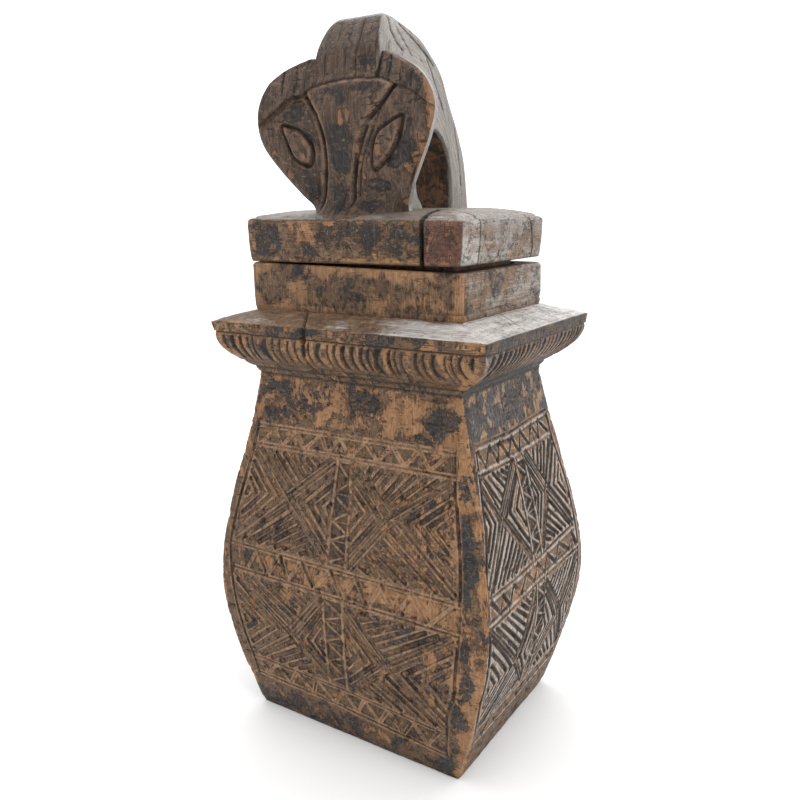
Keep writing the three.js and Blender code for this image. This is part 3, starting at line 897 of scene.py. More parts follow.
    def lip(self, tree: bpy.types.NodeTree, mask: object) -> object:
        """Find the rim of a torn mask: 4m(1 - m), which is 1 halfway and 0 inside and outside."""
        return self.math(tree, "MULTIPLY", self.math(tree, "MULTIPLY", mask, 4.0),
                         self.math(tree, "SUBTRACT", 1.0, mask))

    def mix(self, tree: bpy.types.NodeTree, factor: object, low: str, high: str, span: Point) -> object:
        """Go from one hex colour to another over a span of the factor."""
        return self.blend(tree, self.ramp(tree, factor, span, (0.0, 1.0)), to_linear(low), to_linear(high))

    def blend(self, tree: bpy.types.NodeTree, factor: object, low: object, high: object) -> object:
        """Mix two colours."""
        return add_node(tree, "ShaderNodeMix", {0: factor, 6: low, 7: high}, data_type="RGBA").outputs[2]


# Box body

WALL_SHEET = (-130.0, 130.0, 0.0, 296.0)
WALL_CELL = 0.35


@dataclass(frozen=True)
class Ellipse:
    """A soft oval place on a wall, for bare wood or paint."""

    u: float
    v: float
    half_u: float
    half_v: float
    strength: float = 1.0


def ovals(places: tuple[Ellipse, ...], u: np.ndarray, v: np.ndarray) -> np.ndarray:
    """Add up soft ovals: strength · e^(-r²) with r the distance in half sizes.

    Args:
        places: the ovals.
        u: positions across.
        v: heights.

    Returns:
        The sum, cut at one.
    """
    total = np.zeros(u.shape)
    for spot in places:
        r2 = ((u - spot.u) / spot.half_u) ** 2 + ((v - spot.v) / spot.half_v) ** 2
        total = total + spot.strength * np.exp(-(r2**1.5))
    return np.clip(total, -1, 1)


@dataclass(frozen=True)
class Lattice:
    """One X of the lattice: its crossing, its four corners, which way its hatching leans, and its arms.

    An arm is a ribbed strap of the given half width, or a single ridge where that is under 3 mm.
    """

    crossing: Point
    top_left: Point
    top_right: Point
    bottom_right: Point
    bottom_left: Point
    falls_on_top: bool
    straps: tuple[float, float, float, float] = (1.9, 5.2, 3.6, 1.9)
    pitch: float = 5.9
    fan: float = 0.35
    fan_low: float = 0.35


@dataclass(frozen=True)
class Band:
    """A zigzag band: its upper and lower border lines and the points of its zigzag."""

    upper: Line
    lower: Line
    points: tuple[float, ...]
    starts_low: bool = True
    furrow_width: float = 3.0
    furrow_depth: float = 1.5
    field_depth: float = 1.1
    line_width: float = 1.7
    all_furrows: bool = False


@dataclass(frozen=True)
class Strip:
    """The upright strip between two lattices: its two edges, and the heights of its rungs."""

    left: Line
    right: Line
    rungs: tuple[float, ...]


@dataclass(frozen=True)
class WallCarving:
    """Everything cut into one wall, in mm across and up, with its worn and painted places."""

    border_left: Line
    border_right: Line
    bands: tuple[Band, ...]
    lattices: tuple[Lattice, ...]
    strips: tuple[Strip, ...]
    depth: float = 1.5
    gouge: float = 4.2
    steep: float = 2.6
    # How much darker the creases and greyer the crests are: grime and wear, partly painted shade and
    # highlight of the relief.
    grime_and_relief_shading: float = 0.1
    bare: tuple[Ellipse, ...] = ()
    paint: tuple[Ellipse, ...] = ()
    grey: float = 0.0
    seed: int = 1

    def cut(self) -> Relief:
        """Cut the borders, the bands, the strips and the lattices into a new sheet.

        Returns:
            The sheet, rubbed down.
        """
        sheet = Relief(*WALL_SHEET, WALL_CELL, self.seed)
        for border in (self.border_left, self.border_right):
            knots = [(u, v) for v, u in border]
            sheet.path(tuple(knots), 2.8, self.depth * 1.25)
        for band in self.bands:
            self.cut_band(sheet, band)
        for strip in self.strips:
            self.cut_strip(sheet, strip)
        for lattice_x in self.lattices:
            self.cut_lattice(sheet, lattice_x)
        sheet.worn(1)
        return sheet

    def cut_band(self, sheet: Relief, band: Band) -> None:
        """Sink the band, then leave standing its border lines and its zigzag; some legs are furrows.

        Args:
            sheet: the sheet to cut.
            band: the band.
        """
        upper, lower = np.asarray(band.upper, float), np.asarray(band.lower, float)
        for (u0, a0), (u1, a1) in zip(upper[:-1], upper[1:]):
            b0, b1 = along(band.lower, u0), along(band.lower, u1)
            sheet.chip(((u0 - 1, b0 - 2.6), (u1 + 1, b1 - 2.6), (u1 + 1, a1 + 2.6), (u0 - 1, a0 + 2.6)),
                       band.field_depth)
        for line in (upper, lower):
            for (u0, a0), (u1, a1) in zip(line[:-1], line[1:]):
                if band.all_furrows:
                    for shift in (-2.3, 2.3):
                        sheet.groove((u0, a0 + shift), (u1, a1 + shift), 2.0, band.furrow_depth * 0.55, 0.1)
                    sheet.ridge((u0, a0), (u1, a1), band.line_width, 0.1)
                    continue
                for shift in (-1.5, 1.5):
                    sheet.ridge((u0, a0 + shift), (u1, a1 + shift), band.line_width, 0.1)
                sheet.groove((u0, a0), (u1, a1), 1.5, band.field_depth * 0.9, 0.1)
        low = band.starts_low
        nodes = []
        for u in band.points:
            v = along(band.lower, u) + 1.2 if low else along(band.upper, u) - 1.2
            nodes.append((u, float(v)))
            low = not low
        for a, b in zip(nodes[:-1], nodes[1:]):
            falls = b[1] < a[1]
            if band.all_furrows:
                sheet.groove(a, b, band.furrow_width * (1.0 if falls else 0.65),
                             band.furrow_depth, 0.3, 1.4)
            elif falls and band.furrow_depth > 0:
                for shift in (-2.3, 2.3):
                    sheet.ridge((a[0] + shift, a[1]), (b[0] + shift, b[1]), 1.5, 0.2)
                sheet.groove(a, b, band.furrow_width, band.furrow_depth)
            else:
                for shift in (-1.4, 1.4):
                    sheet.ridge((a[0] + shift, a[1]), (b[0] + shift, b[1]), 1.6, 0.25)

    def cut_strip(self, sheet: Relief, strip: Strip) -> None:
        """Sink the strip and leave standing its two edges and a bent rung at each step.

        Args:
            sheet: the sheet to cut.
            strip: the strip.
        """
        left, right = strip.left[::-1], strip.right[::-1]
        heights = strip.rungs
        for top, low in zip(heights[:-1], heights[1:]):
            corners = ((along(left, low), low), (along(right, low), low), (along(right, top), top),
                       (along(left, top), top))
            sheet.chip(corners, self.depth * 0.85, 0.45)
        for top, low in zip(heights[:-1], heights[1:]):
            middle = 0.42 * top + 0.58 * low
            a, b, c = (along(left, top), top), (along(right, middle), middle), (along(left, low), low)
            sheet.ridge(a, b, 2.0)
            sheet.ridge(b, c, 1.7)
        for edge in (strip.left, strip.right):
            knots = [(u, v) for v, u in edge]
            for a, b in zip(knots[:-1], knots[1:]):
                sheet.groove((a[0] - 2.2, a[1]), (b[0] - 2.2, b[1]), 1.8, self.depth * 0.7, 0.15)
                sheet.groove((a[0] + 2.2, a[1]), (b[0] + 2.2, b[1]), 1.8, self.depth * 0.7, 0.15)
                sheet.ridge(a, b, 2.0, 0.15)

    def cut_lattice(self, sheet: Relief, x: Lattice) -> None:
        """Cut the four ribbed arms, then the hatching above and below and the chevrons at the sides.

        Args:
            sheet: the sheet to cut.
            x: the lattice.
        """
        centre = np.asarray(x.crossing, float)
        corners = [np.asarray(c, float) for c in (x.top_left, x.top_right, x.bottom_right, x.bottom_left)]
        for corner, strap in zip(corners, x.straps):
            span = corner - centre
            aside = np.array([-span[1], span[0]]) / np.hypot(*span)
            shifts = (-strap, -strap / 3, strap / 3, strap) if strap > 3 else (-strap, strap)
            for shift in shifts:
                a = centre + aside * shift + span * 0.02
                sheet.groove(tuple(a), tuple(corner + aside * shift * 0.8 - span * 0.03), 2.4,
                             self.depth * 0.85, 0.3)
        top_left, top_right, bottom_right, bottom_left = zip(corners, x.straps)
        if x.falls_on_top:
            self.hatch(sheet, x, top_left, centre, top_right, x.fan)
            self.hatch(sheet, x, bottom_left, centre, bottom_right, x.fan_low)
        else:
            self.hatch(sheet, x, top_right, centre, top_left, x.fan)
            self.hatch(sheet, x, bottom_right, centre, bottom_left, x.fan_low)
        self.nest(sheet, x, top_left, centre, bottom_left)
        self.nest(sheet, x, top_right, centre, bottom_right)

    def hatch(self, sheet: Relief, x: Lattice, near_arm: Arm, centre: np.ndarray, far_arm: Arm,
              fan: float) -> None:
        """Hatch a triangle with lines alongside the near arm, fanning out towards the far one.

        A line starts the share f along the border from near to far and ends the share
        f + fan·f·(1 - f) along the far arm, both held clear of the straps.

        Args:
            sheet: the sheet to cut.
            x: the lattice.
            near_arm: corner whose arm the lines follow, and its strap.
            centre: the crossing.
            far_arm: corner at the other end of the border, and its strap.
            fan: how much the lines spread.
        """
        (near, near_strap), (far, far_strap) = near_arm, far_arm
        border = far - near
        arm = near - centre
        height = abs(np.cross(border, arm)) / np.hypot(*arm)
        count = max(3, int(round((height - near_strap - far_strap) / x.pitch)))
        inward = (centre - 0.5 * (near + far)) / np.hypot(*(centre - 0.5 * (near + far)))
        first, last = (near_strap + 0.6 * x.pitch) / height, 1 - (far_strap + 0.5 * x.pitch) / height
        for f in np.linspace(first, last, count):
            start = near + border * f + inward * 1.9
            g = f + fan * f * (1 - f)
            end = centre + (far - centre) * min(g, 0.97)
            length = np.hypot(*(end - start))
            back = (far_strap + 0.9) / max(abs(np.cross(end - start, far - centre))
                                           / (length * np.hypot(*(far - centre))), 0.4)
            if length - back > 3:
                sheet.groove(tuple(start), tuple(end + (start - end) * back / length), self.gouge,
                             self.depth, 0.3, self.steep)

    def nest(self, sheet: Relief, x: Lattice, top_arm: Arm, centre: np.ndarray, bottom_arm: Arm) -> None:
        """Fill a side triangle with chevrons that point at the crossing, their legs along the two arms.

        The corner of each lies the share f from the crossing to the middle of the border.

        Args:
            sheet: the sheet to cut.
            x: the lattice.
            top_arm: upper corner, and its strap.
            centre: the crossing.
            bottom_arm: lower corner, and its strap.
        """
        (top, top_strap), (bottom, bottom_strap) = top_arm, bottom_arm
        share = (centre[1] - bottom[1]) / (top[1] - bottom[1])
        middle = bottom + (top - bottom) * share
        arm = top - centre
        height = abs(np.cross(middle - centre, arm)) / np.hypot(*arm)
        strap = max(top_strap, bottom_strap)
        count = max(2, int(round((height - strap) / x.pitch)))
        inward = (centre - middle) / np.hypot(*(centre - middle))
        for f in np.linspace((strap + 0.55 * x.pitch) / height, 0.93, count):
            tip = centre + (middle - centre) * f + sheet.slip(0.4)
            for corner in (top, bottom):
                end = corner + (middle - corner) * f + inward * 1.9
                sheet.groove(tuple(tip), tuple(end), self.gouge, self.depth, 0.3, self.steep)


def zigzag(start: float, end: float, pitch: float, seed: int) -> tuple[float, ...]:
    """Step from start to end by half a pitch, each step a little off, as laid out by eye.

    Args:
        start: first point.
        end: last point.
        pitch: length of one full zigzag.
        seed: starts the small errors.

    Returns:
        The points.
    """
    count = max(2, int(round((end - start) / (0.5 * pitch))))
    points = np.linspace(start, end, count + 1)
    points[1:-1] += np.random.default_rng(seed).normal(0, 0.06 * pitch, count - 1)
    return tuple(float(p) for p in points)


FRONT_CARVING = WallCarving(
    border_left=((32, -94.7), (47, -96.7), (77, -105), (110, -111.7), (145, -115.6), (180, -109.5),
                 (220, -99), (252, -91.4)),
    border_right=((24, 88.5), (43, 91.7), (60, 93.3), (77, 99.2), (93, 100.8), (118, 102.5), (145, 102.5),
                  (173, 100.8), (210, 95), (223, 91.7), (254, 88.3)),
    bands=(
        Band(((-91, 250.3), (88, 253.4)), ((-93, 234.8), (90, 237)),
             (-88, -74.7, -67.5, -52.5, -44, -28.8, -21.7, -10.8, 0, 13.3, 25, 36.7, 48.3, 60, 70, 84),
             True, 0, 0, 1.0),
        Band(((-114, 149.4), (102, 149)), ((-112, 128.4), (102, 126)),
             (-97, -85.8, -75, -61, -54, -39, -26.7, -10.8, 1.7, 13.3, 25, 36.7, 51, 62.5, 77.5, 98),
             True, 3.8, 2.0, 1.1),
        Band(((-95, 48.7), (-5, 47.4), (90, 41.6)), ((-93, 32.6), (-25, 30.6), (-3, 28.6), (88, 20.8)),
             (-92, -84, -71.7, -59, -50, -35, -29, -13, -2, 9, 18, 30, 40, 52, 62, 74, 84),
             False, 0, 0, 1.1),
    ),
    lattices=(
        Lattice((-58.3, 195.8), (-94, 233), (-12.5, 232), (-14, 153), (-111, 153), True,
                (1.9, 5.2, 3.6, 1.9), 5.4, -0.1, 0.3),
        Lattice((41.5, 198.2), (0.5, 234), (90, 234), (100, 152), (4.5, 153), False,
                (3.6, 4.4, 1.9, 4.4), 5.4, -0.6, 0.25),
        Lattice((-50.8, 84.2), (-111, 125), (-17, 125), (-15, 51), (-96, 51), True),
        Lattice((43.3, 82.5), (2, 124), (101, 124), (92, 45), (4, 49), False, (5.0, 4.4, 1.9, 3.4)),
    ),
    strips=(
        Strip(((233, -11), (173, -13.4), (153, -15)), ((233, 2), (197, 3.2), (153, 3.4)),
              (232, 208, 187, 172, 154)),
        Strip(((126, -17), (90, -15.5), (50, -15)), ((126, 1.7), (60, 2.4), (50, 2.6)),
              (124, 106, 88, 70, 52)),
    ),
    depth=1.2,
    bare=(Ellipse(-30, 276, 16, 13, 0.9), Ellipse(45, 274, 16, 14, 0.95), Ellipse(84, 262, 14, 22, 0.8),
          Ellipse(-5, 139, 90, 8, 0.75), Ellipse(70, 139, 30, 10, 0.8), Ellipse(97, 228, 6, 60, 0.7),
          Ellipse(70, 175, 34, 26, 0.35), Ellipse(25, 86, 10, 10, 0.4), Ellipse(85, 98, 18, 16, 0.5),
          Ellipse(-10, 66, 12, 14, 0.4), Ellipse(-55, 120, 24, 8, 0.35), Ellipse(10, 14, 60, 8, 0.3),
          Ellipse(-60, 16, 30, 10, 0.2), Ellipse(105, 138, 8, 16, 0.9), Ellipse(110, 60, 12, 70, 0.9)),
    paint=(Ellipse(-68, 275, 30, 14, 0.62), Ellipse(76, 270, 13, 12, 0.95), Ellipse(10, 276, 16, 12, 0.6),
           Ellipse(-37, 267, 6, 6, 0.8), Ellipse(103, 200, 6, 17, 0.95), Ellipse(107, 168, 6, 24, 0.85),
           Ellipse(99, 228, 6, 10, 0.7), Ellipse(109.5, 91, 6, 13, 1.0), Ellipse(108, 117, 4, 10, 0.9),
           Ellipse(100, 62, 7, 14, 0.75), Ellipse(88, 12, 9, 11, 0.8), Ellipse(5, 14, 9, 14, 0.75),
           Ellipse(-15, 205, 18, 12, 0.5), Ellipse(70, 205, 26, 16, 0.42), Ellipse(-60, 168, 40, 12, 0.42),
           Ellipse(60, 112, 40, 10, 0.45), Ellipse(-60, 112, 36, 14, 0.35), Ellipse(70, 66, 34, 22, 0.3),
           Ellipse(-60, 10, 50, 9, 0.5), Ellipse(5, 50, 12, 14, 0.5), Ellipse(-98, 135, 18, 12, 0.3),
           Ellipse(-75, 260, 18, 6, 0.5)),
    seed=11,
)

RIGHT_CARVING = WallCarving(
    border_left=((34, -78), (60, -84), (80, -88), (103, -86.5), (138, -86.6), (166, -84), (177, -81),
                 (199, -73.6), (220, -68.6), (231, -65.7), (254, -61)),
    border_right=((34, 70), (60, 76), (90, 80), (120, 79.3), (139, 78.6), (164, 76.4), (190, 73.6),
                  (210, 69.3), (233, 64), (254, 62)),
    bands=(
        Band(((-61, 255), (-8, 252.6), (61, 255.3)), ((-65, 239.6), (-6, 237.4), (63, 239.8)),
             (-59, -52, -42, -33, -25, -15, -5.7, 2.9, 10, 21.4, 30.7, 39, 44.3, 58), False, 4.2, 2.6,
             0.6, 2.0, True),
        Band(((-84, 155.4), (-44, 153.6), (-5, 154.4), (72, 156.2)),
             ((-87, 138.8), (-12, 140.4), (79, 138.8)),
             (-81.4, -68.6, -63.6, -53.6, -45, -33.6, -23.6, -10.7, -3.6, 9.3, 16.4, 31.4, 40.7, 60.7, 68,
              75), False, 4.2, 2.6, 0.6, 2.0, True),
        Band(((-78, 48), (0, 44), (72, 44)), ((-76, 33), (0, 30), (70, 30)), zigzag(-72, 66, 22, 5),
             False, 3.8, 2.2, 0.8, 2.2, True),
    ),
    lattices=(
        Lattice((-45.7, 202), (-65, 236.5), (-8.5, 235), (-9, 159), (-84, 158), True,
                (1.8, 4.8, 3.2, 1.8), 5.9, 0.45, 0.3),
        Lattice((33.6, 200.7), (8.5, 236), (62, 236.5), (73, 160), (9, 160), False, (5.0, 1.8, 1.8, 3.2),
                6.0, -0.6, 0.3),
        Lattice((-33, 84), (-86, 135), (-10, 136), (-4, 50), (-80, 50), True,
                (1.8, 4.2, 1.8, 1.8), 6.2, 0.2),
        Lattice((47, 90), (9, 134), (77, 135), (73, 47), (10, 48), False, (4.2, 1.8, 1.8, 3.0), 6.0, 0.3),
    ),
    strips=(
        Strip(((236, -8), (158, -8.3)), ((236, 7.1), (158, 7.6)), (232, 211, 193, 175, 160)),
        Strip(((137, -7), (90, -3.5), (50, -3)), ((137, 9), (104, 12), (50, 9)), (134, 114, 95, 76, 56)),
    ),
    depth=2.3,
    gouge=3.3,
    steep=1.5,
    grime_and_relief_shading=0.45,
    bare=(Ellipse(-40, 146, 50, 9, 0.45), Ellipse(-60, 215, 16, 18, 0.4), Ellipse(12, 284, 8, 8, 0.9),
          Ellipse(32, 265, 6, 12, 1.0), Ellipse(-52, 281, 6, 6, 0.9), Ellipse(-60, 262, 5, 10, 0.6),
          Ellipse(-20, 246, 40, 6, 0.4), Ellipse(0, 110, 8, 16, 0.4), Ellipse(48, 278, 8, 4, 0.7),
          Ellipse(-86, 40, 10, 40, 0.6), Ellipse(60, 110, 16, 16, 0.3)),
    paint=(Ellipse(-35, 272, 30, 18, 0.66), Ellipse(14, 264, 14, 10, 0.66), Ellipse(55, 270, 14, 14, 0.6),
           Ellipse(-4, 284, 10, 8, 0.66), Ellipse(35, 284, 12, 6, 0.6), Ellipse(-80, 205, 6, 26, 0.8),
           Ellipse(-90, 160, 4, 26, 0.7), Ellipse(-68, 240, 5, 18, 0.8), Ellipse(20, 210, 26, 26, 0.28),
           Ellipse(0, 20, 60, 14, 0.1)),
    grey=0.14,
    seed=23,
)

BACK_CARVING = WallCarving(
    border_left=((30, -91), (60, -101), (100, -110), (140, -112), (180, -106), (220, -97), (253, -89)),
    border_right=((30, 91), (60, 101), (100, 110), (140, 112), (180, 106), (220, 97), (253, 89)),
    bands=(
        Band(((-89, 252), (89, 253)), ((-92, 237), (92, 238)), zigzag(-86, 86, 23.4, 7), True, 0, 0, 1.1),
        Band(((-111, 151), (111, 150)), ((-111, 129), (111, 129)), zigzag(-105, 105, 24.5, 8),
             False, 3.6, 2.0, 1.1),
        Band(((-95, 47), (95, 46)), ((-91, 30), (91, 30)), zigzag(-86, 86, 22, 9), False, 0, 0, 1.1),
    ),
    lattices=(
        Lattice((-52, 197), (-92, 234), (-9, 234), (-9, 155), (-109, 155), True),
        Lattice((52, 195), (9, 234), (93, 234), (110, 154), (9, 155), False),
        Lattice((-52, 87), (-109, 126), (-9, 126), (-9, 50), (-95, 50), True),
        Lattice((51, 88), (9, 126), (110, 126), (96, 49), (9, 50), False),
    ),
    strips=(
        Strip(((234, -8), (155, -8)), ((234, 8), (155, 8)), (233, 213, 194, 175, 156)),
        Strip(((126, -8), (50, -8)), ((126, 8), (50, 8)), (125, 106, 88, 70, 52)),
    ),
    depth=1.7,
    bare=(Ellipse(-40, 272, 40, 12, 0.7), Ellipse(60, 140, 50, 10, 0.6), Ellipse(-30, 180, 40, 30, 0.3),
          Ellipse(40, 90, 40, 30, 0.3)),
    paint=(Ellipse(50, 272, 34, 13, 0.7), Ellipse(-70, 262, 16, 10, 0.5), Ellipse(70, 200, 30, 20, 0.4),
           Ellipse(-60, 90, 34, 24, 0.4), Ellipse(30, 20, 50, 12, 0.4)),
    grey=0.1,
    seed=37,
)

LEFT_CARVING = WallCarving(
    border_left=((30, -70), (60, -76), (100, -80), (140, -78), (180, -73), (220, -67), (253, -61)),
    border_right=((30, 70), (60, 76), (100, 80), (140, 79), (180, 73), (220, 66), (253, 61)),
    bands=(
        Band(((-61, 253), (61, 252)), ((-64, 238), (64, 237)), zigzag(-58, 58, 21, 12),
             False, 3.2, 2.0, 1.1),
        Band(((-78, 152), (78, 152)), ((-79, 133), (79, 133)), zigzag(-74, 74, 22, 13),
             False, 3.6, 2.2, 1.2),
        Band(((-73, 47), (73, 47)), ((-70, 31), (70, 31)), zigzag(-66, 66, 21, 14), False, 3.0, 1.8, 1.1),
    ),
    lattices=(
        Lattice((-37, 198), (-65, 234), (-8, 234), (-8, 156), (-76, 156), True),
        Lattice((38, 198), (8, 234), (65, 234), (76, 156), (8, 156), False),
        Lattice((-40, 90), (-79, 130), (-8, 130), (-8, 51), (-74, 51), True),
        Lattice((40, 88), (8, 130), (79, 130), (74, 51), (8, 51), False),
    ),
    strips=(
        Strip(((235, -7.5), (156, -7.5)), ((235, 7.5), (156, 7.5)), (234, 214, 195, 176, 158)),
        Strip(((130, -7.5), (51, -7.5)), ((130, 7.5), (51, 7.5)), (129, 109, 90, 71, 53)),
    ),
    depth=1.9,
    bare=(Ellipse(20, 272, 30, 12, 0.6), Ellipse(0, 142, 60, 9, 0.5), Ellipse(-20, 100, 40, 30, 0.3)),
    paint=(Ellipse(-35, 272, 26, 14, 0.6), Ellipse(40, 190, 20, 20, 0.4), Ellipse(-20, 20, 50, 12, 0.4)),
    grey=0.12,
    seed=41,
)


@dataclass
class BoxBody:
    """The carved block: bulging walls, fluted cornice, collar, hollow and floor."""

    wall_z: tuple[float, ...] = (0, 53, 100, 135, 185, 238, 265, 288)
    wall_half_x: tuple[float, ...] = (98.3, 113.9, 124.4, 126.4, 118.5, 105, 98.3, 93)
    wall_half_y: tuple[float, ...] = (79.3, 88.9, 92.3, 90.2, 83.1, 73.8, 70, 67.9)
    arris: float = 2.4
    foot_chamfer: float = 1.2
    wall_top: float = 291.0
    wall: float = 17.0
    floor_top: float = 24.0
    mouth: Point = (77, 52)
    neck: Point = (93, 67.9)
    lip: Point = (122.5, 89.5)
    lip_z: float = 336.0
    lip_back_extra: float = 3.6
    fillet: float = 10.5
    flute_pitch: float = 7.4
    flute_depth: float = 1.9
    checks: tuple[Line, Line] = (((92, -10), (104, -17), (124, -30)), ((96, 52), (110, 60), (124, 62)))
    collar: Point = (94.2, 67.2)
    collar_shift: float = -2.0
    collar_foot: float = 344.0
    collar_top: float = 376.2
    collar_rise_left: float = 3.9
    sheets: dict[int, tuple[Relief, np.ndarray, WallCarving]] = field(default_factory=dict)

    def half_sizes(self, z: np.ndarray) -> tuple[np.ndarray, np.ndarray]:
        """Half width and half depth of the walls at a height, by the cubic through their knots.

        Args:
            z: heights.

        Returns:
            Half widths and half depths.
        """
        knots = np.asarray(self.wall_z, float)
        at = np.clip(z, 0, self.wall_z[-1])
        return tuple(cubic(knots, np.asarray(half, float), at)
                     for half in (self.wall_half_x, self.wall_half_y))

    def build(self, wood: bpy.types.Material, ledge: bpy.types.Material, rubbed: bpy.types.Material,
              inside: bpy.types.Material) -> None:
        """Cut the four walls' sheets, then make every piece of the body.

        Args:
            wood: the outer finish.
            ledge: the finish of the cornice, whose silver is bleached and made paler as a painted sheen on
                its top.
            rubbed: the softer finish of the collar.
            inside: the finish of the hollow.
        """
        for side, carving in zip(Side, (FRONT_CARVING, RIGHT_CARVING, BACK_CARVING, LEFT_CARVING)):
            sheet = carving.cut()
            near = blurred(sheet.depth, 5, 2)
            self.sheets[side.value] = (sheet, near, carving)
        plan = (("front_a", 0.02, 0.25, 128, 580), ("front_b", 0.25, 0.5, 128, 580),
                ("front_c", 0.5, 0.75, 128, 580), ("front_d", 0.75, 1.02, 150, 580),
                ("right_a", 1.02, 1.35, 120, 580), ("right_b", 1.35, 1.68, 120, 580),
                ("right_c", 1.68, 2.02, 130, 580), ("back", 2.02, 3.02, 250, 280),
                ("left", 3.02, 4.02, 190, 280))
        for name, start, end, cols, rows in plan:
            settle(self.wall_piece("box_wall_" + name, start, end, cols, rows), "box", "box_body", wood)
        settle(self.cornice_piece(), "box", "box_body", ledge)
        settle(self.collar_piece(), "box", "box_body", rubbed)
        settle(self.floor_piece(), "box", "box_body", inside)

    def wall_piece(self, name: str, start: float, end: float, cols: int, rows: int) -> bpy.types.Object:
        """One upright stave of the walls: carved outside, plain hollow inside, closed at both ends.

        Args:
            name: the piece's name.
            start: turn where it starts.
            end: turn where it ends.
            cols: about how many columns it has.
            rows: how many rows its outside has.

        Returns:
            The piece.
        """
        flat = max(8, round(cols * FLAT_SHARE / (end - start)))
        turn = turns(start, end, flat, 10)
        z = np.concatenate([[0, 0.5], np.linspace(self.foot_chamfer, self.wall_top, rows)])
        grid_turn, grid_z = np.meshgrid(turn, z)
        outer, values = self.outer_wall(grid_turn.ravel(), grid_z.ravel())
        inner = self.inner_wall(turn)
        points = np.vstack([outer, inner])
        count = len(turn)
        total = len(points) // count
        extra = len(points) - len(outer)
        values = {key: np.concatenate([v, np.full(extra, 0.35 if key == "dirt_and_shade" else 0.0)])
                  for key, v in values.items()}
        quads = grid_faces(total, count, True, False)
        first = np.arange(total) * count
        caps = (first, (first + count - 1)[::-1])
        return make_mesh(name, points, quads, caps, values)

    def outer_wall(self, turn: np.ndarray, z: np.ndarray) -> tuple[np.ndarray, dict[str, np.ndarray]]:
        """Carved outside: a rounded rectangle at each height, pushed in along its normal.

        The push is the sheet's depth, an uneven hand-cut surface, and wear along the arrises and foot.

        Args:
            turn: turn of each point.
            z: height of each point.

        Returns:
            The points and their material values.
        """
        half_x, half_y = self.half_sizes(z)
        above_x, above_y = self.half_sizes(z + 0.5)
        under_x, under_y = self.half_sizes(z - 0.5)
        shrink = np.clip(self.foot_chamfer - z, 0, None)
        ring = ring_at(turn, half_x - shrink, half_y - shrink, np.full(len(z), self.arris))
        slope = np.abs(ring.out_x) * (above_x - under_x) + np.abs(ring.out_y) * (above_y - under_y)
        normal = np.stack([ring.out_x, ring.out_y, -slope], -1)
        normal /= np.linalg.norm(normal, axis=1, keepdims=True)
        base = np.stack([ring.x, ring.y, z], -1)
        cut, near, pale, steep, stain = (np.zeros(len(z)) for _ in range(5))
        bare, paint, grey, grime_and_relief_shading = np.zeros(len(z)), np.zeros(len(z)), np.zeros(len(z)), np.zeros(len(z))
        for side, (sheet, around, carving) in self.sheets.items():
            here = ring.side == side
            u, v = ring.place[here], z[here]
            cut[here] = sheet.read(sheet.depth, u, v)
            near[here] = sheet.read(around, u, v)
            pale[here], steep[here] = sheet.read(sheet.pale, u, v), sheet.read(sheet.steep, u, v)
            stain[here] = sheet.read(sheet.stain, u, v)
            bare[here] = ovals(carving.bare, u, v)
            paint[here] = ovals(carving.paint, u, v)
            grey[here], grime_and_relief_shading[here] = carving.grey, carving.grime_and_relief_shading
        edge = np.clip(ring.corner, 0, None)
        plain = smooth(-near, -0.25, -0.05)
        uneven = 0.3 + 0.14 * noise(base, 46, 3, 2) + 0.12 * noise(base, (6, 6, 10), 4, 2)
        rub = (0.3 + 0.45 * noise(base, (16, 16, 26), 5, 2)) * np.exp(-((edge / 3.2) ** 2))
        chipped = 0.9 * smooth(noise(base, (3.5, 3.5, 5), 6, 2), 0.4, 0.9) * (near > 0.3)
        foot = (0.5 + 0.9 * np.clip(noise(base, 11, 7, 2), 0, 1)) * smooth(-z, -7, 0)
        scars = (0.7 * smooth(noise(base, (5, 5, 3.2), 8, 2), 0.1, 0.8)
                 + 0.35 * np.abs(noise(base, (7, 7, 12), 10, 2))) * plain
        push = np.clip(cut + uneven + rub + chipped + foot + scars, 0.2, 6)
        push = push * smooth(z, -0.5, 1.0)
        points = base - normal * push[:, None]
        points[:, 2] = np.where(z <= 0.5, z, np.maximum(points[:, 2], 0.6))
        crease, ridge = smooth(cut - near, 0.1, 0.6), smooth(near - cut, 0.08, 0.4)
        arris = np.exp(-((edge / 5.5) ** 2))
        carved = 1 - plain
        floor = smooth(cut, 0.5, 1.0)
        mottle = 0.5 + 0.5 * noise(base, (7, 7, 7), 9, 2)
        foot_dark = 0.06 * smooth(-z, -34, -24)
        neck = plain * smooth(z, 250, 262)
        right = ring.side == Side.RIGHT.value
        flakes = neck * right * smooth(noise(base, (5, 5, 10), 11, 3), 0.3, 0.42)
        crest = np.clip(np.maximum(ridge * carved * (1 - floor), pale), 0, 1)
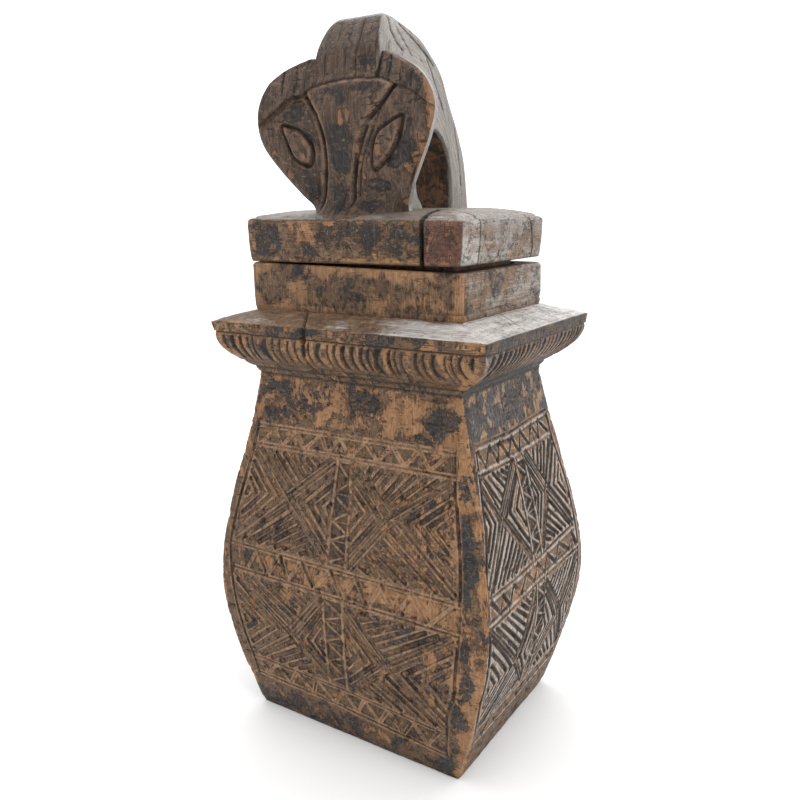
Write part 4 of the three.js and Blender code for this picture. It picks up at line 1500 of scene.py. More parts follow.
        # Darker on the steep sides and in the creases of the cuts, on sunk floors, in chips and scars and
        # along the bottom 16 mm; in the cuts this is dirt and partly a painted shade. The pale crests (worn)
        # and the silver that grime adds to them on the right wall are wear and partly a painted highlight.
        values = {
            "dirt_and_shade": np.clip(smooth(steep, 0.25, 0.95) * (1 - 0.5 * pale) + (0.3 + grime_and_relief_shading) * crease
                            * (0.3 + 1.1 * mottle) + stain * (1 - pale)
                            + 0.35 * smooth(-z, -16, 0) + 0.7 * smooth(chipped, 0.2, 0.8)
                            + 0.5 * smooth(scars, 0.3, 0.9), 0, 1),
            "bare": np.clip(0.34 + 0.36 * bare + 0.1 * floor * (1 - grime_and_relief_shading) + 0.25 * arris
                            + neck * (0.17 - 0.27 * right), 0, 1),
            "paint": np.clip(0.31 + 0.4 * paint + 0.1 * smooth(paint, 0.6, 1)
                             + foot_dark * (1 - 1.2 * grime_and_relief_shading) - 0.03 * arris
                             + 0.28 * neck * right - 0.6 * flakes, 0, 1),
            "grey": np.clip(grey + grime_and_relief_shading * crest + neck * right * (0.02 + 0.14 * mottle), 0, 1),
            "worn": np.clip(crest + 0.7 * flakes, 0, 1),
        }
        return points, values

    def inner_wall(self, turn: np.ndarray) -> np.ndarray:
        """The hollow's side: up in the cornice it takes the mouth's plan, below it follows the walls.

        Args:
            turn: turn of each column.

        Returns:
            The points, row by row from the top down.
        """
        belly = np.linspace(236, 38, 18)
        half_x, half_y = self.half_sizes(belly)
        rows = [(89, 64, 5, 297), (self.mouth[0] + 0.6, self.mouth[1] + 0.6, 9, 297),
                (self.mouth[0] + 0.6, self.mouth[1] + 0.6, 9, 287)]
        mid = self.half_sizes(np.array([238.0]))
        rows += [(0.5 * (self.mouth[0] + mid[0][0] - self.wall) + 0.4,
                  0.5 * (self.mouth[1] + mid[1][0] - self.wall) + 0.4, 12, 262)]
        rows += [(x - self.wall, y - self.wall, 14, z) for x, y, z in zip(half_x, half_y, belly)]
        rows += [(86, 64, 14, 27), (80, 58, 14, self.floor_top), (80, 58, 14, 0.3), (82, 60, 14, 0.0)]
        ring, points = stacked(rows, turn)
        tools = 0.5 * noise(points, (9, 9, 30), 61, 2) * ((points[:, 2] > 28) & (points[:, 2] < 280))
        return points + ring.normals() * tools[:, None]

    def reach_at(self, z: np.ndarray) -> np.ndarray:
        """How far the cornice has come from neck (0) to lip (1): a cove, then a round by 1 - (1 - t)^2.1.

        Args:
            z: heights below the fillet.

        Returns:
            The shares.
        """
        cove_top, fillet_foot = self.neck_z + 12, self.lip_z - self.fillet
        t = np.clip((z - cove_top) / (fillet_foot - cove_top), 0, 1)
        cove = along(((285, -0.12), (290, -0.03), (295, 0.05), (298, 0.14), (300, 0.24)), z)
        return np.where(z < cove_top, cove, 0.24 + 0.69 * (1 - (1 - t) ** 2.1))

    @property
    def neck_z(self) -> float:
        """Height where the walls end."""
        return self.wall_z[-1]

    def cornice_piece(self) -> bpy.types.Object:
        """The cornice ring: cove lines, flutes cut as bowed grooves, a fillet and a sloped top.

        Returns:
            The piece, closed along its profile and round the box.
        """
        fillet_foot = self.lip_z - self.fillet
        lower, fillet_rows, top_rows = 58, 13, 26
        lip_row = lower + fillet_rows
        last_row = lip_row + 2 + top_rows
        z = np.concatenate([np.linspace(285, fillet_foot, lower),
                            np.linspace(fillet_foot + 0.7, self.lip_z - 1.5, fillet_rows),
                            [self.lip_z - 0.7, self.lip_z],
                            np.linspace(self.lip_z + 0.5, self.collar_foot, top_rows),
                            [self.collar_foot, 300, 285]])
        reach = np.zeros(len(z))
        reach[:lower] = self.reach_at(z[:lower])
        upright = slice(lower, lip_row)
        reach[upright] = np.interp(z[upright], [fillet_foot + 0.7, self.lip_z - 1.5], [0.955, 1.0])
        reach[lip_row : lip_row + 2] = (0.985, 0.95)
        top = slice(lip_row + 2, last_row)
        reach[top] = np.interp(z[top], [self.lip_z, self.collar_foot], [0.93, -0.08])
        reach[-3:] = -0.25
        turn = turns(0, 4, 230, 5)[:-1]
        grid_turn, grid_z = np.meshgrid(turn, z)
        grid_reach = np.broadcast_to(reach[:, None], grid_z.shape)
        half_x = self.neck[0] + (self.lip[0] - self.neck[0]) * grid_reach
        half_y = self.neck[1] + (self.lip[1] - self.neck[1]) * grid_reach
        ring = ring_at(grid_turn, half_x, half_y, np.full(grid_z.shape, 2.0))
        back = self.lip_back_extra * np.clip(grid_reach, 0, None)
        base = np.stack([ring.x, ring.y + back * (0.5 + 0.5 * ring.y / half_y), grid_z], -1)
        tangent_z = np.gradient(grid_z, axis=0)
        tangent_out = (np.gradient(half_x, axis=0) * np.abs(ring.out_x)
                       + np.gradient(half_y, axis=0) * np.abs(ring.out_y))
        length = np.hypot(tangent_z, tangent_out) + 1e-9
        normal = np.stack([ring.out_x * tangent_z / length, ring.out_y * tangent_z / length,
                           -tangent_out / length], -1)
        row = np.arange(len(z))[:, None]
        shape = base.shape[:2]
        base, normal = base.reshape(-1, 3), normal.reshape(-1, 3)
        place, side, corner = ring.place.ravel(), ring.side.ravel(), np.clip(ring.corner, 0, None).ravel()
        height = grid_z.ravel()
        rows = np.broadcast_to(row, shape).ravel()
        outside = rows < last_row
        flutes = self.flutes(place, side, height, corner) * (rows < lower)
        coves = ((1.1, 292.6), (1.2, 297.0))
        cove = sum(deep * np.exp(-(((height - at) / 0.9) ** 2)) for deep, at in coves)
        cove = (cove + 0.9 * np.exp(-(((height - 301.8) / 0.7) ** 2))) * (rows < lower)
        notch = 1.1 * np.exp(-(((height - fillet_foot - 0.4) / 0.8) ** 2)) * (rows < lip_row)
        upright_rows = (rows >= lower) & (rows <= lip_row)
        ticks = smooth(noise(base, (1.6, 1.6, 9), 71, 1), 0.45, 0.9) * upright_rows * 0.8
        uneven = 0.3 + 0.2 * noise(base, 30, 72, 2) + 0.2 * noise(base, (5, 5, 5), 73, 2)
        rub = (0.2 + 0.7 * np.clip(noise(base, 13, 74, 2), -0.2, 1)) * np.exp(-((corner / 2.6) ** 2))
        worn_lip = 0.35 + 0.6 * np.clip(noise(base, 9, 75, 2), 0, 1)
        lip = np.exp(-(((height - self.lip_z) / 1.6) ** 2)) * worn_lip
        crack = self.crack(base, side)
        push = (flutes + cove + notch + ticks + uneven + rub + lip) * outside + crack
        points = base - normal * push[:, None]
        sloped = (rows > lip_row) & outside
        # Pale silver on the sloped top, more to the right and less at the collar's foot: weathering, with a
        # painted sheen towards the light on the right and a painted shade against the collar.
        top_silver_sheen_and_shade = sloped * (0.18 + 0.62 * smooth(base[:, 0], 10, 70)
                              + 0.25 * noise(base, (26, 12, 26), 78, 2) - 0.3 * smooth(height, 341, 344))
        cuts = flutes + cove + notch
        backs = smooth(-flutes, -0.5, -0.05) * (rows < lower) * (height > 303)
        fillet = (rows >= lower) & (rows < lip_row + 2)
        front, right = side == Side.FRONT.value, side == Side.RIGHT.value
        fluted = smooth(height, 303, 308) * (rows < lower)
        edge_rub = np.exp(-(((height - self.lip_z) / 1.0) ** 2)) * smooth(noise(base, 12, 79, 2), -0.3, 0.4)
        # Darker in the flutes, coves and notch and over the right side's fluting, paler on the backs between
        # flutes: dirt and wear, partly a painted shade and highlight of the fluting.
        values = {
            "flow": np.where((fillet | sloped)[:, None] & front[:, None], base[:, [1, 2, 0]],
                             np.where((fillet | sloped)[:, None], base[:, [0, 2, 1]], base)),
            "dirt_and_shade": np.clip(smooth(cuts, 0.25, 1.1) + smooth(crack, 0.5, 2.0)
                            + 0.8 * smooth(ticks, 0.2, 0.6) + self.top_cracks(base) * sloped
                            + 0.6 * right * (1 - sloped) * (1 - 0.85 * backs), 0, 1),
            "bare": np.clip(0.36 + 0.3 * np.exp(-((corner / 7) ** 2)) + 0.12 * fillet * front
                            + 0.22 * backs * fluted * front - (0.3 - 0.2 * fillet) * right, 0, 1)
            * (1 - 0.8 * sloped),
            "paint": np.clip(0.36 + 0.16 * smooth(noise(base, 26, 77, 2), 0, 0.8)
                             + (0.32 - 0.17 * fillet) * right - 0.08 * backs, 0, 1) * (1 - 0.6 * sloped),
            "grey": np.clip(top_silver_sheen_and_shade + (0.14 + 0.1 * backs) * right, 0, 1),
            "worn": np.clip((0.3 + 0.2 * right) * backs * fluted + 0.8 * edge_rub, 0, 1),
        }
        quads = grid_faces(len(z), len(turn), True, True)
        return make_mesh("box_cornice", points, quads, (), values)

    def flutes(self, place: np.ndarray, side: np.ndarray, z: np.ndarray,
               to_corner: np.ndarray) -> np.ndarray:
        """Bowed flutes: a rounded groove wherever place + lean(height) is a whole number of pitches.

        The lean bows the groove to the left at half height and drags its lower end to the right near a
        corner; each groove fades out just below the fillet and just above the cove.

        Args:
            place: position along the side.
            side: which side.
            z: heights.
            to_corner: distance to the side's nearer end.

        Returns:
            How deep the flutes are.
        """
        low, high = self.neck_z + 14.5, self.lip_z - self.fillet - 0.8
        t = np.clip((z - low) / (high - low), 0, 1)
        near_right, near_left = smooth(place, 40, 112), smooth(-place, 45, 110)
        front, right = side == Side.FRONT.value, side == Side.RIGHT.value
        bow = np.where(front, -2.4 * 4 * t * (1 - t), 0.8 * 4 * t * (1 - t))
        lean = np.where(front, -7.0 * near_left * t + 7.0 * near_right * (1 - t) ** 2, -9.0 * (1 - t))
        wander = noise(np.stack([place / 11, side * 9.0, z * 0], -1), 1.0, 81)
        phase = (place - bow - lean) / self.flute_pitch + 0.35 * wander
        offset = np.abs(phase - np.round(phase)) * self.flute_pitch
        count = np.round(phase)
        wide = (1.7 + 0.55 * right) * (1 + 0.25 * np.sin(count * 12.9 + side * 4.1))
        share = 0.8 + 0.3 * np.sin(count * 7.7 + 1.3 * side)
        groove = np.clip(1.5 * (1 - offset / wide), 0, 1) ** 0.8 * share
        ends = smooth(z, low - 1.2, low + 7) * smooth(-z, -high - 0.6, -high + 1.2)
        return self.flute_depth * (1 + 0.3 * right) * groove * ends * smooth(to_corner, 3, 9)

    def top_cracks(self, base: np.ndarray) -> np.ndarray:
        """Two thin dark checks that run across the top of the cornice on its right.

        Args:
            base: positions.

        Returns:
            1 on a check, 0 off it.
        """
        away = np.minimum(*(line_distance(base[:, :2], line) for line in self.checks))
        away = away + 0.3 * noise(base, 5, 84)
        return np.clip(1.5 - away / 0.6, 0, 1)

    def crack(self, base: np.ndarray, side: np.ndarray) -> np.ndarray:
        """The long check in the front of the cornice: a narrow gash along a broken line in x and height.

        Args:
            base: positions.
            side: which side each is on.

        Returns:
            How deep it gapes.
        """
        line = ((292.0, -14.0), (298.0, -28.0), (306.0, -33.0), (317.0, -30.0), (326.0, -29.5),
                (336.0, -27.6), (344.0, -41.0))
        centre = along(line, base[:, 2]) + 0.6 * noise(base, 3.5, 83)
        gape = along(((290.0, 0.5), (300.0, 0.9), (318.0, 1.1), (324.0, 2.6), (333.0, 2.4), (337.0, 0.9),
                      (344.0, 0.5)), base[:, 2])
        share = np.clip(1 - np.abs(base[:, 0] - centre) / gape, 0, 1)
        return 3.6 * share**0.6 * (base[:, 1] < -60) * (side == Side.FRONT.value)

    def collar_piece(self) -> bpy.types.Object:
        """The collar ring: four faces, a rounded rim, the flat seat and the mouth's side.

        Returns:
            The piece, closed along its profile and round the box.
        """
        hx, hy = self.collar
        mx, my = self.mouth
        aside = self.collar_shift
        rows = [(hx - 4, hy - 4, 4, 339, aside, 0)]
        rows += [(hx - 1 + min(1, (z - 341) / 5), hy - 1 + min(1, (z - 341) / 5), 4, z, aside,
                  (z - 341) / 32.6)
                 for z in np.linspace(341, self.collar_top - 2.6, 44)]
        rows += [(hx - inset, hy - inset, 4, self.collar_top - drop, aside, 1)
                 for inset, drop in ((0.25, 1.7), (0.8, 0.8), (1.6, 0.25), (2.6, 0))]
        rim_end = len(rows)
        rows += [(hx - 2.6 - (hx - mx - 3.6) * s, hy - 2.6 - (hy - my - 3.6) * s, 4 + 5 * s,
                  self.collar_top,
                  aside - aside * s, 1) for s in np.linspace(0.15, 1, 7)]
        seat_end = len(rows) + 1
        rows += [(mx + 0.4, my + 0.4, 9, self.collar_top - 0.4, 0, 1),
                 (mx, my, 9, self.collar_top - 1.2, 0, 1)]
        rows += [(mx, my, 9, z, 0, max(0, (z - 340) / 40))
                 for z in np.linspace(self.collar_top - 8, 284, 12)]
        rows += [(mx + 4, my + 4, 9, 284, 0, 0), (mx + 6, my + 6, 9, 330, 0, 0)]
        table = np.asarray(rows, float)
        turn = turns(0, 4, 170, 7)[:-1]
        ring = ring_at(turn[None, :], table[:, :1], table[:, 1:2], table[:, 2:3])
        left = np.clip((hx - ring.x) / (2 * hx), 0, 1)
        z = table[:, 3:4] + self.collar_rise_left * left * table[:, 5:6]
        shift = np.broadcast_to(table[:, 4:5], ring.x.shape)
        base = np.stack([ring.x + shift, ring.y, z], -1).reshape(-1, 3)
        normal = ring.normals()
        row = np.broadcast_to(np.arange(len(table))[:, None], z.shape).ravel()
        outside = row < rim_end
        corner = np.clip(ring.corner, 0, None).ravel()
        side = ring.side.ravel()
        right = side == Side.RIGHT.value
        across = np.where((side % 2 == 1)[:, None], (14.0, 9.0, 2.6), (2.6, 2.6, 12.0))
        uneven = 0.35 + 0.3 * noise(base, 34, 91, 2) + 0.2 * noise(base / across, 1.0, 92, 2)
        rub = (0.4 + 0.5 * noise(base, 12, 93, 2)) * np.exp(-((corner / 2.4) ** 2))
        over = base[:, 2] - 348.5 - 0.8 * noise(base, 30, 94)
        ledge = 0.7 * np.exp(-((over / 0.6) ** 2)) * smooth(noise(base, 22, 95), -0.5, 0.3)
        push = (uneven + rub + ledge) * outside
        points = base - normal * push[:, None]
        seat = (row >= rim_end) & (row < seat_end)
        points[:, 2] -= seat * (0.15 + 0.12 * noise(base, 9, 96, 2))
        inside = row >= seat_end
        height = smooth(base[:, 2], 368, 378)
        smudge = noise(base, (26, 18, 15), 98, 2)
        flow = np.where((side % 2 == 1)[:, None] & outside[:, None], base[:, [2, 0, 1]], base)
        # Darker at the collar's foot where it meets the cornice, a painted shade, and inside the mouth, on
        # the seat and on the small ledge.
        values = {
            "flow": flow,
            "dirt_and_shade": np.clip(0.6 * smooth(-base[:, 2], -347, -342) * outside + 0.4 * inside
                            + 0.3 * seat + ledge, 0, 1),
            "bare": np.clip(0.5 + 0.22 * smudge + 0.35 * np.exp(-((corner / 5) ** 2)) + 0.15 * height
                            - 0.12 * right, 0, 1) * outside,
            "paint": np.clip(0.24 - 0.3 * smudge + 0.1 * noise(base, 9, 97, 2), 0, 1) * outside,
            "grey": np.clip((0.34 + 0.2 * noise(base, (16, 22, 16), 89, 2)) * right, 0, 1) * outside,
        }
        quads = grid_faces(len(table), len(turn), True, True)
        return make_mesh("box_collar", points, quads, (), values)

    def floor_piece(self) -> bpy.types.Object:
        """The hollow's floor and the underside: one thick plate let into the foot of the walls.

        Returns:
            The piece.
        """
        rows = [(4, 4, 2, 0.35), (40, 24, 8, 0.35), (83, 61, 14, 0.35), (84, 62, 14, 1.2),
                (84, 62, 14, 23.4), (83, 61, 14, self.floor_top + 0.1)]
        rows += [(s * 83, s * 61, 14 * s, self.floor_top + 0.1)
                 for s in (0.85, 0.68, 0.5, 0.34, 0.18, 0.06)]
        turn = turns(0, 4, 60, 6)[:-1]
        _, points = stacked(rows, turn)
        tools = 0.35 * noise(points, 14, 99, 2)
        points[:, 2] += np.where(points[:, 2] > self.floor_top, tools, 0)
        plain = np.ones(len(points))
        values = {"dirt_and_shade": 0.35 * plain, "bare": 0.2 * plain, "grey": 0.1 * plain}
        quads = grid_faces(len(rows), len(turn), False, True)
        return make_mesh("box_floor", points, quads, end_caps(len(rows), len(turn)), values)


# Lid


@dataclass
class Lid:
    """The slab with its let-in corner, the plug under it, and the arched handle with its carved head."""

    width: float = 192.5
    depth: float = 134.6
    shift: float = -3.75
    seat: float = 380.6
    edge_z: float = 412.0
    rise_left: float = 1.6
    collar_half: float = 94.2
    crest_arris: Line = ((505, 23.0), (520, 22.6), (533, 20.2), (546, 17.0))
    crown_z: float = 419.2
    edge_round: float = 4.0
    corner_radius: float = 5.0
    patch_left: float = 62.0
    patch_back: float = -42.3
    joint_gap: float = 3.4
    back_gap: float = 0.4
    mouth: Point = (77, 52)
    plug_clearance: float = 1.4
    plug_foot: float = 354.6
    arch_half: float = 30.0
    crest_half: float = 18.5
    arch_shift: float = -2.5
    taper_z: float = 512.0
    crown_top: float = 549.8
    arch_outer: Line = ((-50, 409), (-51, 430), (-57, 455), (-61.5, 486), (-61.5, 520), (-56.5, 535),
                        (-46, 549), (-36, 549.8), (-24, 545.6), (-10, 540), (2, 532.6), (13.5, 523),
                        (23, 511), (34, 494), (46, 476.7), (55, 458.9), (61, 438), (64.5, 409))
    hole: Line = ((-2, 405), (-8, 419), (-14, 426), (-17, 440), (-12.5, 461), (-2, 474), (9, 475),
                  (17, 472), (26.8, 462), (33.3, 444), (35, 428), (32, 405))
    head_rows: tuple[tuple[float, float, float, float], ...] = (
        (411, -45, 43, -48), (418, -43, 38, -49), (430, -54, 42, -53), (450, -71, 54, -59.5),
        (466, -81.4, 63.3, -63.5), (484, -84, 69, -66), (498, -82, 63.6, -64), (510, -74, 51.5, -61),
        (518, -58, 37, -58.5), (523, -41, 25, -56.5)
    )
    head_rim: float = 7.0
    brow: Line = ((-84, 478), (-79.8, 481), (-66.4, 488.3), (-55.4, 495.2), (-40.5, 499), (-31.2, 502.2),
                  (-23.3, 504.4), (-8, 505.9), (4.5, 506.2), (26.4, 504.2), (35.9, 500.5), (47.6, 495.8),
                  (55.8, 491.5), (65, 485.3), (70, 482))
    brow_step: Line = ((-84, 1.4), (-60, 2.4), (-38, 2.6), (-24, 1.6), (20, 1.2), (40, 0.9), (70, 0.7))
    brow_run: Line = ((-84, 5.5), (-40, 4.0), (-25, 2.3), (24, 2.3), (38, 4.5), (70, 6.5))
    facet_edges: tuple[float, ...] = (-90, -76, -67, -58, -47, -38, -31, -22, -13, -4, 5, 13, 22.5, 32.5,
                                      42, 51, 60, 76)
    cheek: Line = ((61.6, 469.4), (53.2, 458.9), (41.9, 448.1), (31.9, 440.8))
    channels: tuple[tuple[Line, float, float], ...] = (
        (((-41, 494.6), (-33.3, 486), (-29.3, 474.9), (-28.3, 464.9), (-29.6, 455), (-34, 441),
          (-38, 425)), 2.6, 1.1),
        (((-37.7, 497.3), (-27.9, 484.6), (-24.1, 474.6), (-22.7, 466.6), (-23.2, 456.7), (-25.8, 444.7),
          (-30.1, 432.4), (-34.5, 419.8)),
         3.9, 2.8),
        (((37.1, 499), (29.4, 489), (18.9, 479.5)), 3.6, 3.0),
        (((15.2, 474.1), (10.6, 466.7), (6.1, 457.3), (1.2, 446.8), (-3.1, 433.9), (-5.7, 421.6)),
         3.0, 2.2),
        (((27.2, 485.4), (20.1, 473.8), (13.9, 464.6), (8.7, 455.3), (4, 443.7), (-0.5, 428.7)), 3.0, 1.9),
    )
    snout_left: Line = ((415, -36), (432.4, -29), (444.7, -24.5), (456.7, -22), (466.6, -21),
                        (474.6, -22.5), (484.6, -26), (500, -38))
    snout_right: Line = ((415, -8), (433.9, -5), (446.8, 0), (457.3, 4.5), (466.7, 9), (474, 13.5),
                         (480, 18.5), (489, 28), (500, 38))
    eyes: tuple[Line, ...] = (
        ((-61, 478.8), (-53, 477.6), (-45.4, 475.2), (-37.6, 467.4), (-35.6, 459.2), (-40.6, 450.6),
         (-53, 455.2), (-58.4, 466.4)),
        ((43.8, 479.4), (32.3, 475.8), (23.5, 471.2), (18.6, 464.4), (15.5, 455), (15, 445.8),
         (24.2, 449.8), (33, 457), (39.8, 466)),
    )
    head_dark: tuple[Ellipse, ...] = (
        Ellipse(-3, 492, 6, 4, 0.9), Ellipse(-9, 470, 14, 9), Ellipse(-10, 453, 10, 11),
        Ellipse(-15, 427, 7, 11), Ellipse(-42, 438, 8, 10), Ellipse(-35, 470, 5, 12, 0.8),
        Ellipse(45, 458, 7, 12, 0.9), Ellipse(21, 435, 12, 5, 0.9), Ellipse(-50, 484, 8, 4, 0.8),
        Ellipse(10, 500, 16, 4, 0.7), Ellipse(14, 516, 6, 6, 0.8), Ellipse(32, 511, 3, 8, 0.9),
        Ellipse(-13, 499, 8, 4, 0.5), Ellipse(32, 450, 7, 5, 0.8), Ellipse(-43, 488, 8, 5, 0.5),
        Ellipse(11, 421, 10, 5, 0.8), Ellipse(23.5, 520, 2.5, 18, 0.9), Ellipse(48, 503, 8, 8, 0.4),
        Ellipse(-60, 500, 14, 6, 0.3),
    )
    head_bare: tuple[Ellipse, ...] = (
        Ellipse(-5, 480, 3, 9), Ellipse(1, 484, 2, 6, 0.9), Ellipse(16, 484, 7, 2.5, 0.8),
        Ellipse(57, 463, 2.5, 8), Ellipse(51, 453, 3, 6), Ellipse(43, 446, 4, 4),
        Ellipse(-12, 441, 6, 2, 0.9), Ellipse(17, 428, 5, 2.5, 0.9), Ellipse(35, 424, 6, 2, 0.9),
        Ellipse(66, 489, 2.5, 8), Ellipse(62, 500, 2.5, 6), Ellipse(-44, 457, 4, 5, 0.9),
        Ellipse(22, 458, 3, 9, 0.8), Ellipse(15, 512, 8, 2.5, 0.9), Ellipse(-72, 460, 4, 4, 0.8),
        Ellipse(-60, 446, 3, 5, 0.8), Ellipse(6, 449, 3, 19, 0.8), Ellipse(22, 441, 7, 2, 0.8),
        Ellipse(-22, 448, 2, 8, 0.7), Ellipse(-50, 470, 6, 5, 0.5),
    )
    arch_cracks: tuple[tuple[Line, float, float], ...] = (
        (((-44.1, 546.6), (-45.6, 537.5), (-40.8, 530.6), (-33.3, 525.2)), 1.0, 1.4),
        (((-30.9, 543.5), (-20.5, 537.3), (-7.1, 530), (7, 521)), 1.1, 1.6),
        (((-38, 541), (-30, 531), (-22, 524)), 0.7, 1.0),
        (((-2.1, 523.7), (9.3, 508.6), (21.3, 491.3)), 0.9, 1.3),
        (((36.4, 485.1), (44.7, 463.2), (49.9, 436.5)), 0.8, 1.2),
    )

    def build(self, wood: bpy.types.Material, smoked: bpy.types.Material, red: bpy.types.Material,
              dark: bpy.types.Material) -> None:
        """Make the slab and its corner block, the plug, the arch and the head.

        Args:
            wood: the finish of the lid.
            smoked: the darker finish of the handle and its head.
            red: the finish of the let-in block.
            dark: the finish of the peg.
        """
        slab = self.slab_piece("lid_slab")
        corner = self.block("cutter", self.patch_left - self.joint_gap, self.patch_back + self.back_gap)
        self.cut(slab, corner, Cut.AWAY)
        self.dress_slab(slab)
        settle(slab, "lid", "lid", wood)
        patch = self.slab_piece("lid_patch")
        self.cut(patch, self.block("cutter", self.patch_left, self.patch_back), Cut.KEEP)
        self.dress_slab(patch)
        settle(patch, "lid", "lid_corner_patch", red)
        settle(self.plug_piece(), "lid", "lid", wood)
        settle(self.arch_piece(), "lid", "lid", smoked)
        settle(self.head_piece(), "lid", "lid", smoked)
        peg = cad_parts["lid_corner_peg"]
        peg.data.materials.clear()
        peg.data.materials.append(dark)

    def edge_at(self, x: np.ndarray) -> np.ndarray:
        """Height of the slab's upper edge, a little higher towards the left."""
        return self.edge_z + self.rise_left * np.clip((self.collar_half - x) / (2 * self.collar_half), 0, 1)

    def slab_piece(self, name: str) -> bpy.types.Object:
        """The whole slab: profile rows from the middle of the underside, up the sides and over the crown.

        Args:
            name: the piece's name.

        Returns:
            The uncut slab, without its finish.
        """
        hx, hy = self.width / 2, self.depth / 2
        low = [(60, 60, 1, 0), (40, 40, 3, 0), (20, 20, 4, 0), (8, 7, 4, 0), (3.2, 1.6, 4, 0),
               (2.5, 0.7, 4.5, 0.6), (2.0, 0.2, 5, 1.8)]
        high = [(0, 0, self.edge_round), (0.25, 0.25, 2.6), (1, 1, 1.2), (2.3, 2.3, 0.35), (4, 4, 0)]
        insets = [6, 8, 10, 12, 14, 17, 20, 24, 28, 33, 38, 43, 48, 54, 60, 65]
        turn = turns(0, 4, 170, 7)[:-1]

        def ring(inset_x: float, inset_y: float, radius: float) -> Ring:
            """Ring of the slab's plan, drawn in by two insets."""
            return ring_at(turn, np.full(len(turn), hx - inset_x), np.full(len(turn), hy - inset_y),
                           np.full(len(turn), radius))

        layers, normals = [], []
        for inset_x, inset_y, radius, rise in low:
            r = ring(inset_x, inset_y, radius)
            layers.append(np.stack([r.x, r.y, np.full(len(turn), self.seat + rise)], -1))
            normals.append(np.stack([r.out_x, r.out_y, 0 * r.x], -1) * (rise > 0))
        below, sides = layers[-1], ring(0, 0, self.corner_radius)
        for s in np.linspace(0, 1, 40)[1:-1]:
            z = below[:, 2] + (self.edge_at(sides.x) - self.edge_round - below[:, 2]) * s
            ease = 1 - (1 - s) ** 2.2
            layers.append(np.stack([below[:, 0] + (sides.x - below[:, 0]) * ease,
                                    below[:, 1] + (sides.y - below[:, 1]) * ease, z], -1))
            normals.append(np.stack([sides.out_x, sides.out_y, 0 * z], -1))
        for inset_x, inset_y, drop in high:
            r = ring(inset_x, inset_y, self.corner_radius)
            layers.append(np.stack([r.x, r.y, self.edge_at(r.x) - drop], -1))
            up = inset_x / self.edge_round
            normals.append(np.stack([r.out_x * (1 - up), r.out_y * (1 - up), np.full(len(turn), up)], -1))
        for inset in insets:
            r = ring(inset, inset, max(0.8, 5 - inset / 16))
            share = 1 - (1 - min(inset, 46) / 46) ** 2.4
            layers.append(np.stack([r.x, r.y, self.edge_at(r.x) * (1 - share) + self.crown_z * share], -1))
            normals.append(np.stack([0 * r.x, 0 * r.x, np.ones(len(turn))], -1))
        points, normal = np.concatenate(layers), np.concatenate(normals)
        points = points + (self.shift, 0, 0)
        uneven = 0.35 + 0.3 * noise(points, 38, 111, 2) + 0.16 * noise(points, (12, 5, 5), 112, 2)
        edge = np.abs(points[:, 2] - self.edge_z - 0.6) < 3
        chips = 0.8 * np.clip(noise(points, 10, 113, 2), 0, 1) * edge
        points = points - normal * (uneven + chips + self.slab_crack(points))[:, None]
        quads = grid_faces(len(layers), len(turn), False, True)
        return make_mesh(name, points, quads, end_caps(len(layers), len(turn)))

    def slab_crack(self, points: np.ndarray) -> np.ndarray:
        """Checks in the right face of the slab, each a thin upright gash.

        Args:
            points: positions.

        Returns:
            How deep they gape.
        """
        total = np.zeros(len(points))
        right = points[:, 0] > 84
        for foot, head, gape in ((47.0, 39.5, 0.9), (2.0, 4.0, 0.3)):
            centre = foot + (head - foot) * smooth(points[:, 2], 385, 414) + 0.7 * noise(points, 4, 115)
            total += 3 * gape * np.clip(1 - np.abs(points[:, 1] - centre) / gape, 0, 1) * right
        return total * smooth(-points[:, 2], -413.6, -412.2)

    def block(self, name: str, left: float, back: float) -> bpy.types.Object:
        """The space of the let-in corner: a box from left to beyond the slab, and forward of back.

        Args:
            name: the tool's name.
            left: its left face.
            back: its back face.

        Returns:
            The box, which reaches past the slab on its other sides.
        """
        xs, ys, zs = (left, 130.0), (-90.0, back), (360.0, 440.0)
        points = np.array([(x, y, z) for z in zs for y in ys for x in xs], float)
        quads = np.array([(0, 2, 3, 1), (4, 5, 7, 6), (0, 1, 5, 4), (1, 3, 7, 5),
                          (3, 2, 6, 7), (2, 0, 4, 6)])
        return make_mesh(name, points, quads)

    def cut(self, piece: bpy.types.Object, tool: bpy.types.Object, how: Cut) -> None:
        """Cut a piece by a tool for good, and throw the tool away.

        Args:
            piece: what is cut.
            tool: the closed mesh that cuts it.
            how: take the tool's space away, or keep only that.
        """
        change = piece.modifiers.new("cut", "BOOLEAN")
        change.operation, change.object, change.solver = how.value, tool, "EXACT"
        result = bpy.data.meshes.new_from_object(piece.evaluated_get(bpy.context.evaluated_depsgraph_get()))
        piece.modifiers.clear()
        old = piece.data
        piece.data = result
        bpy.data.meshes.remove(old)
        bpy.data.objects.remove(tool)

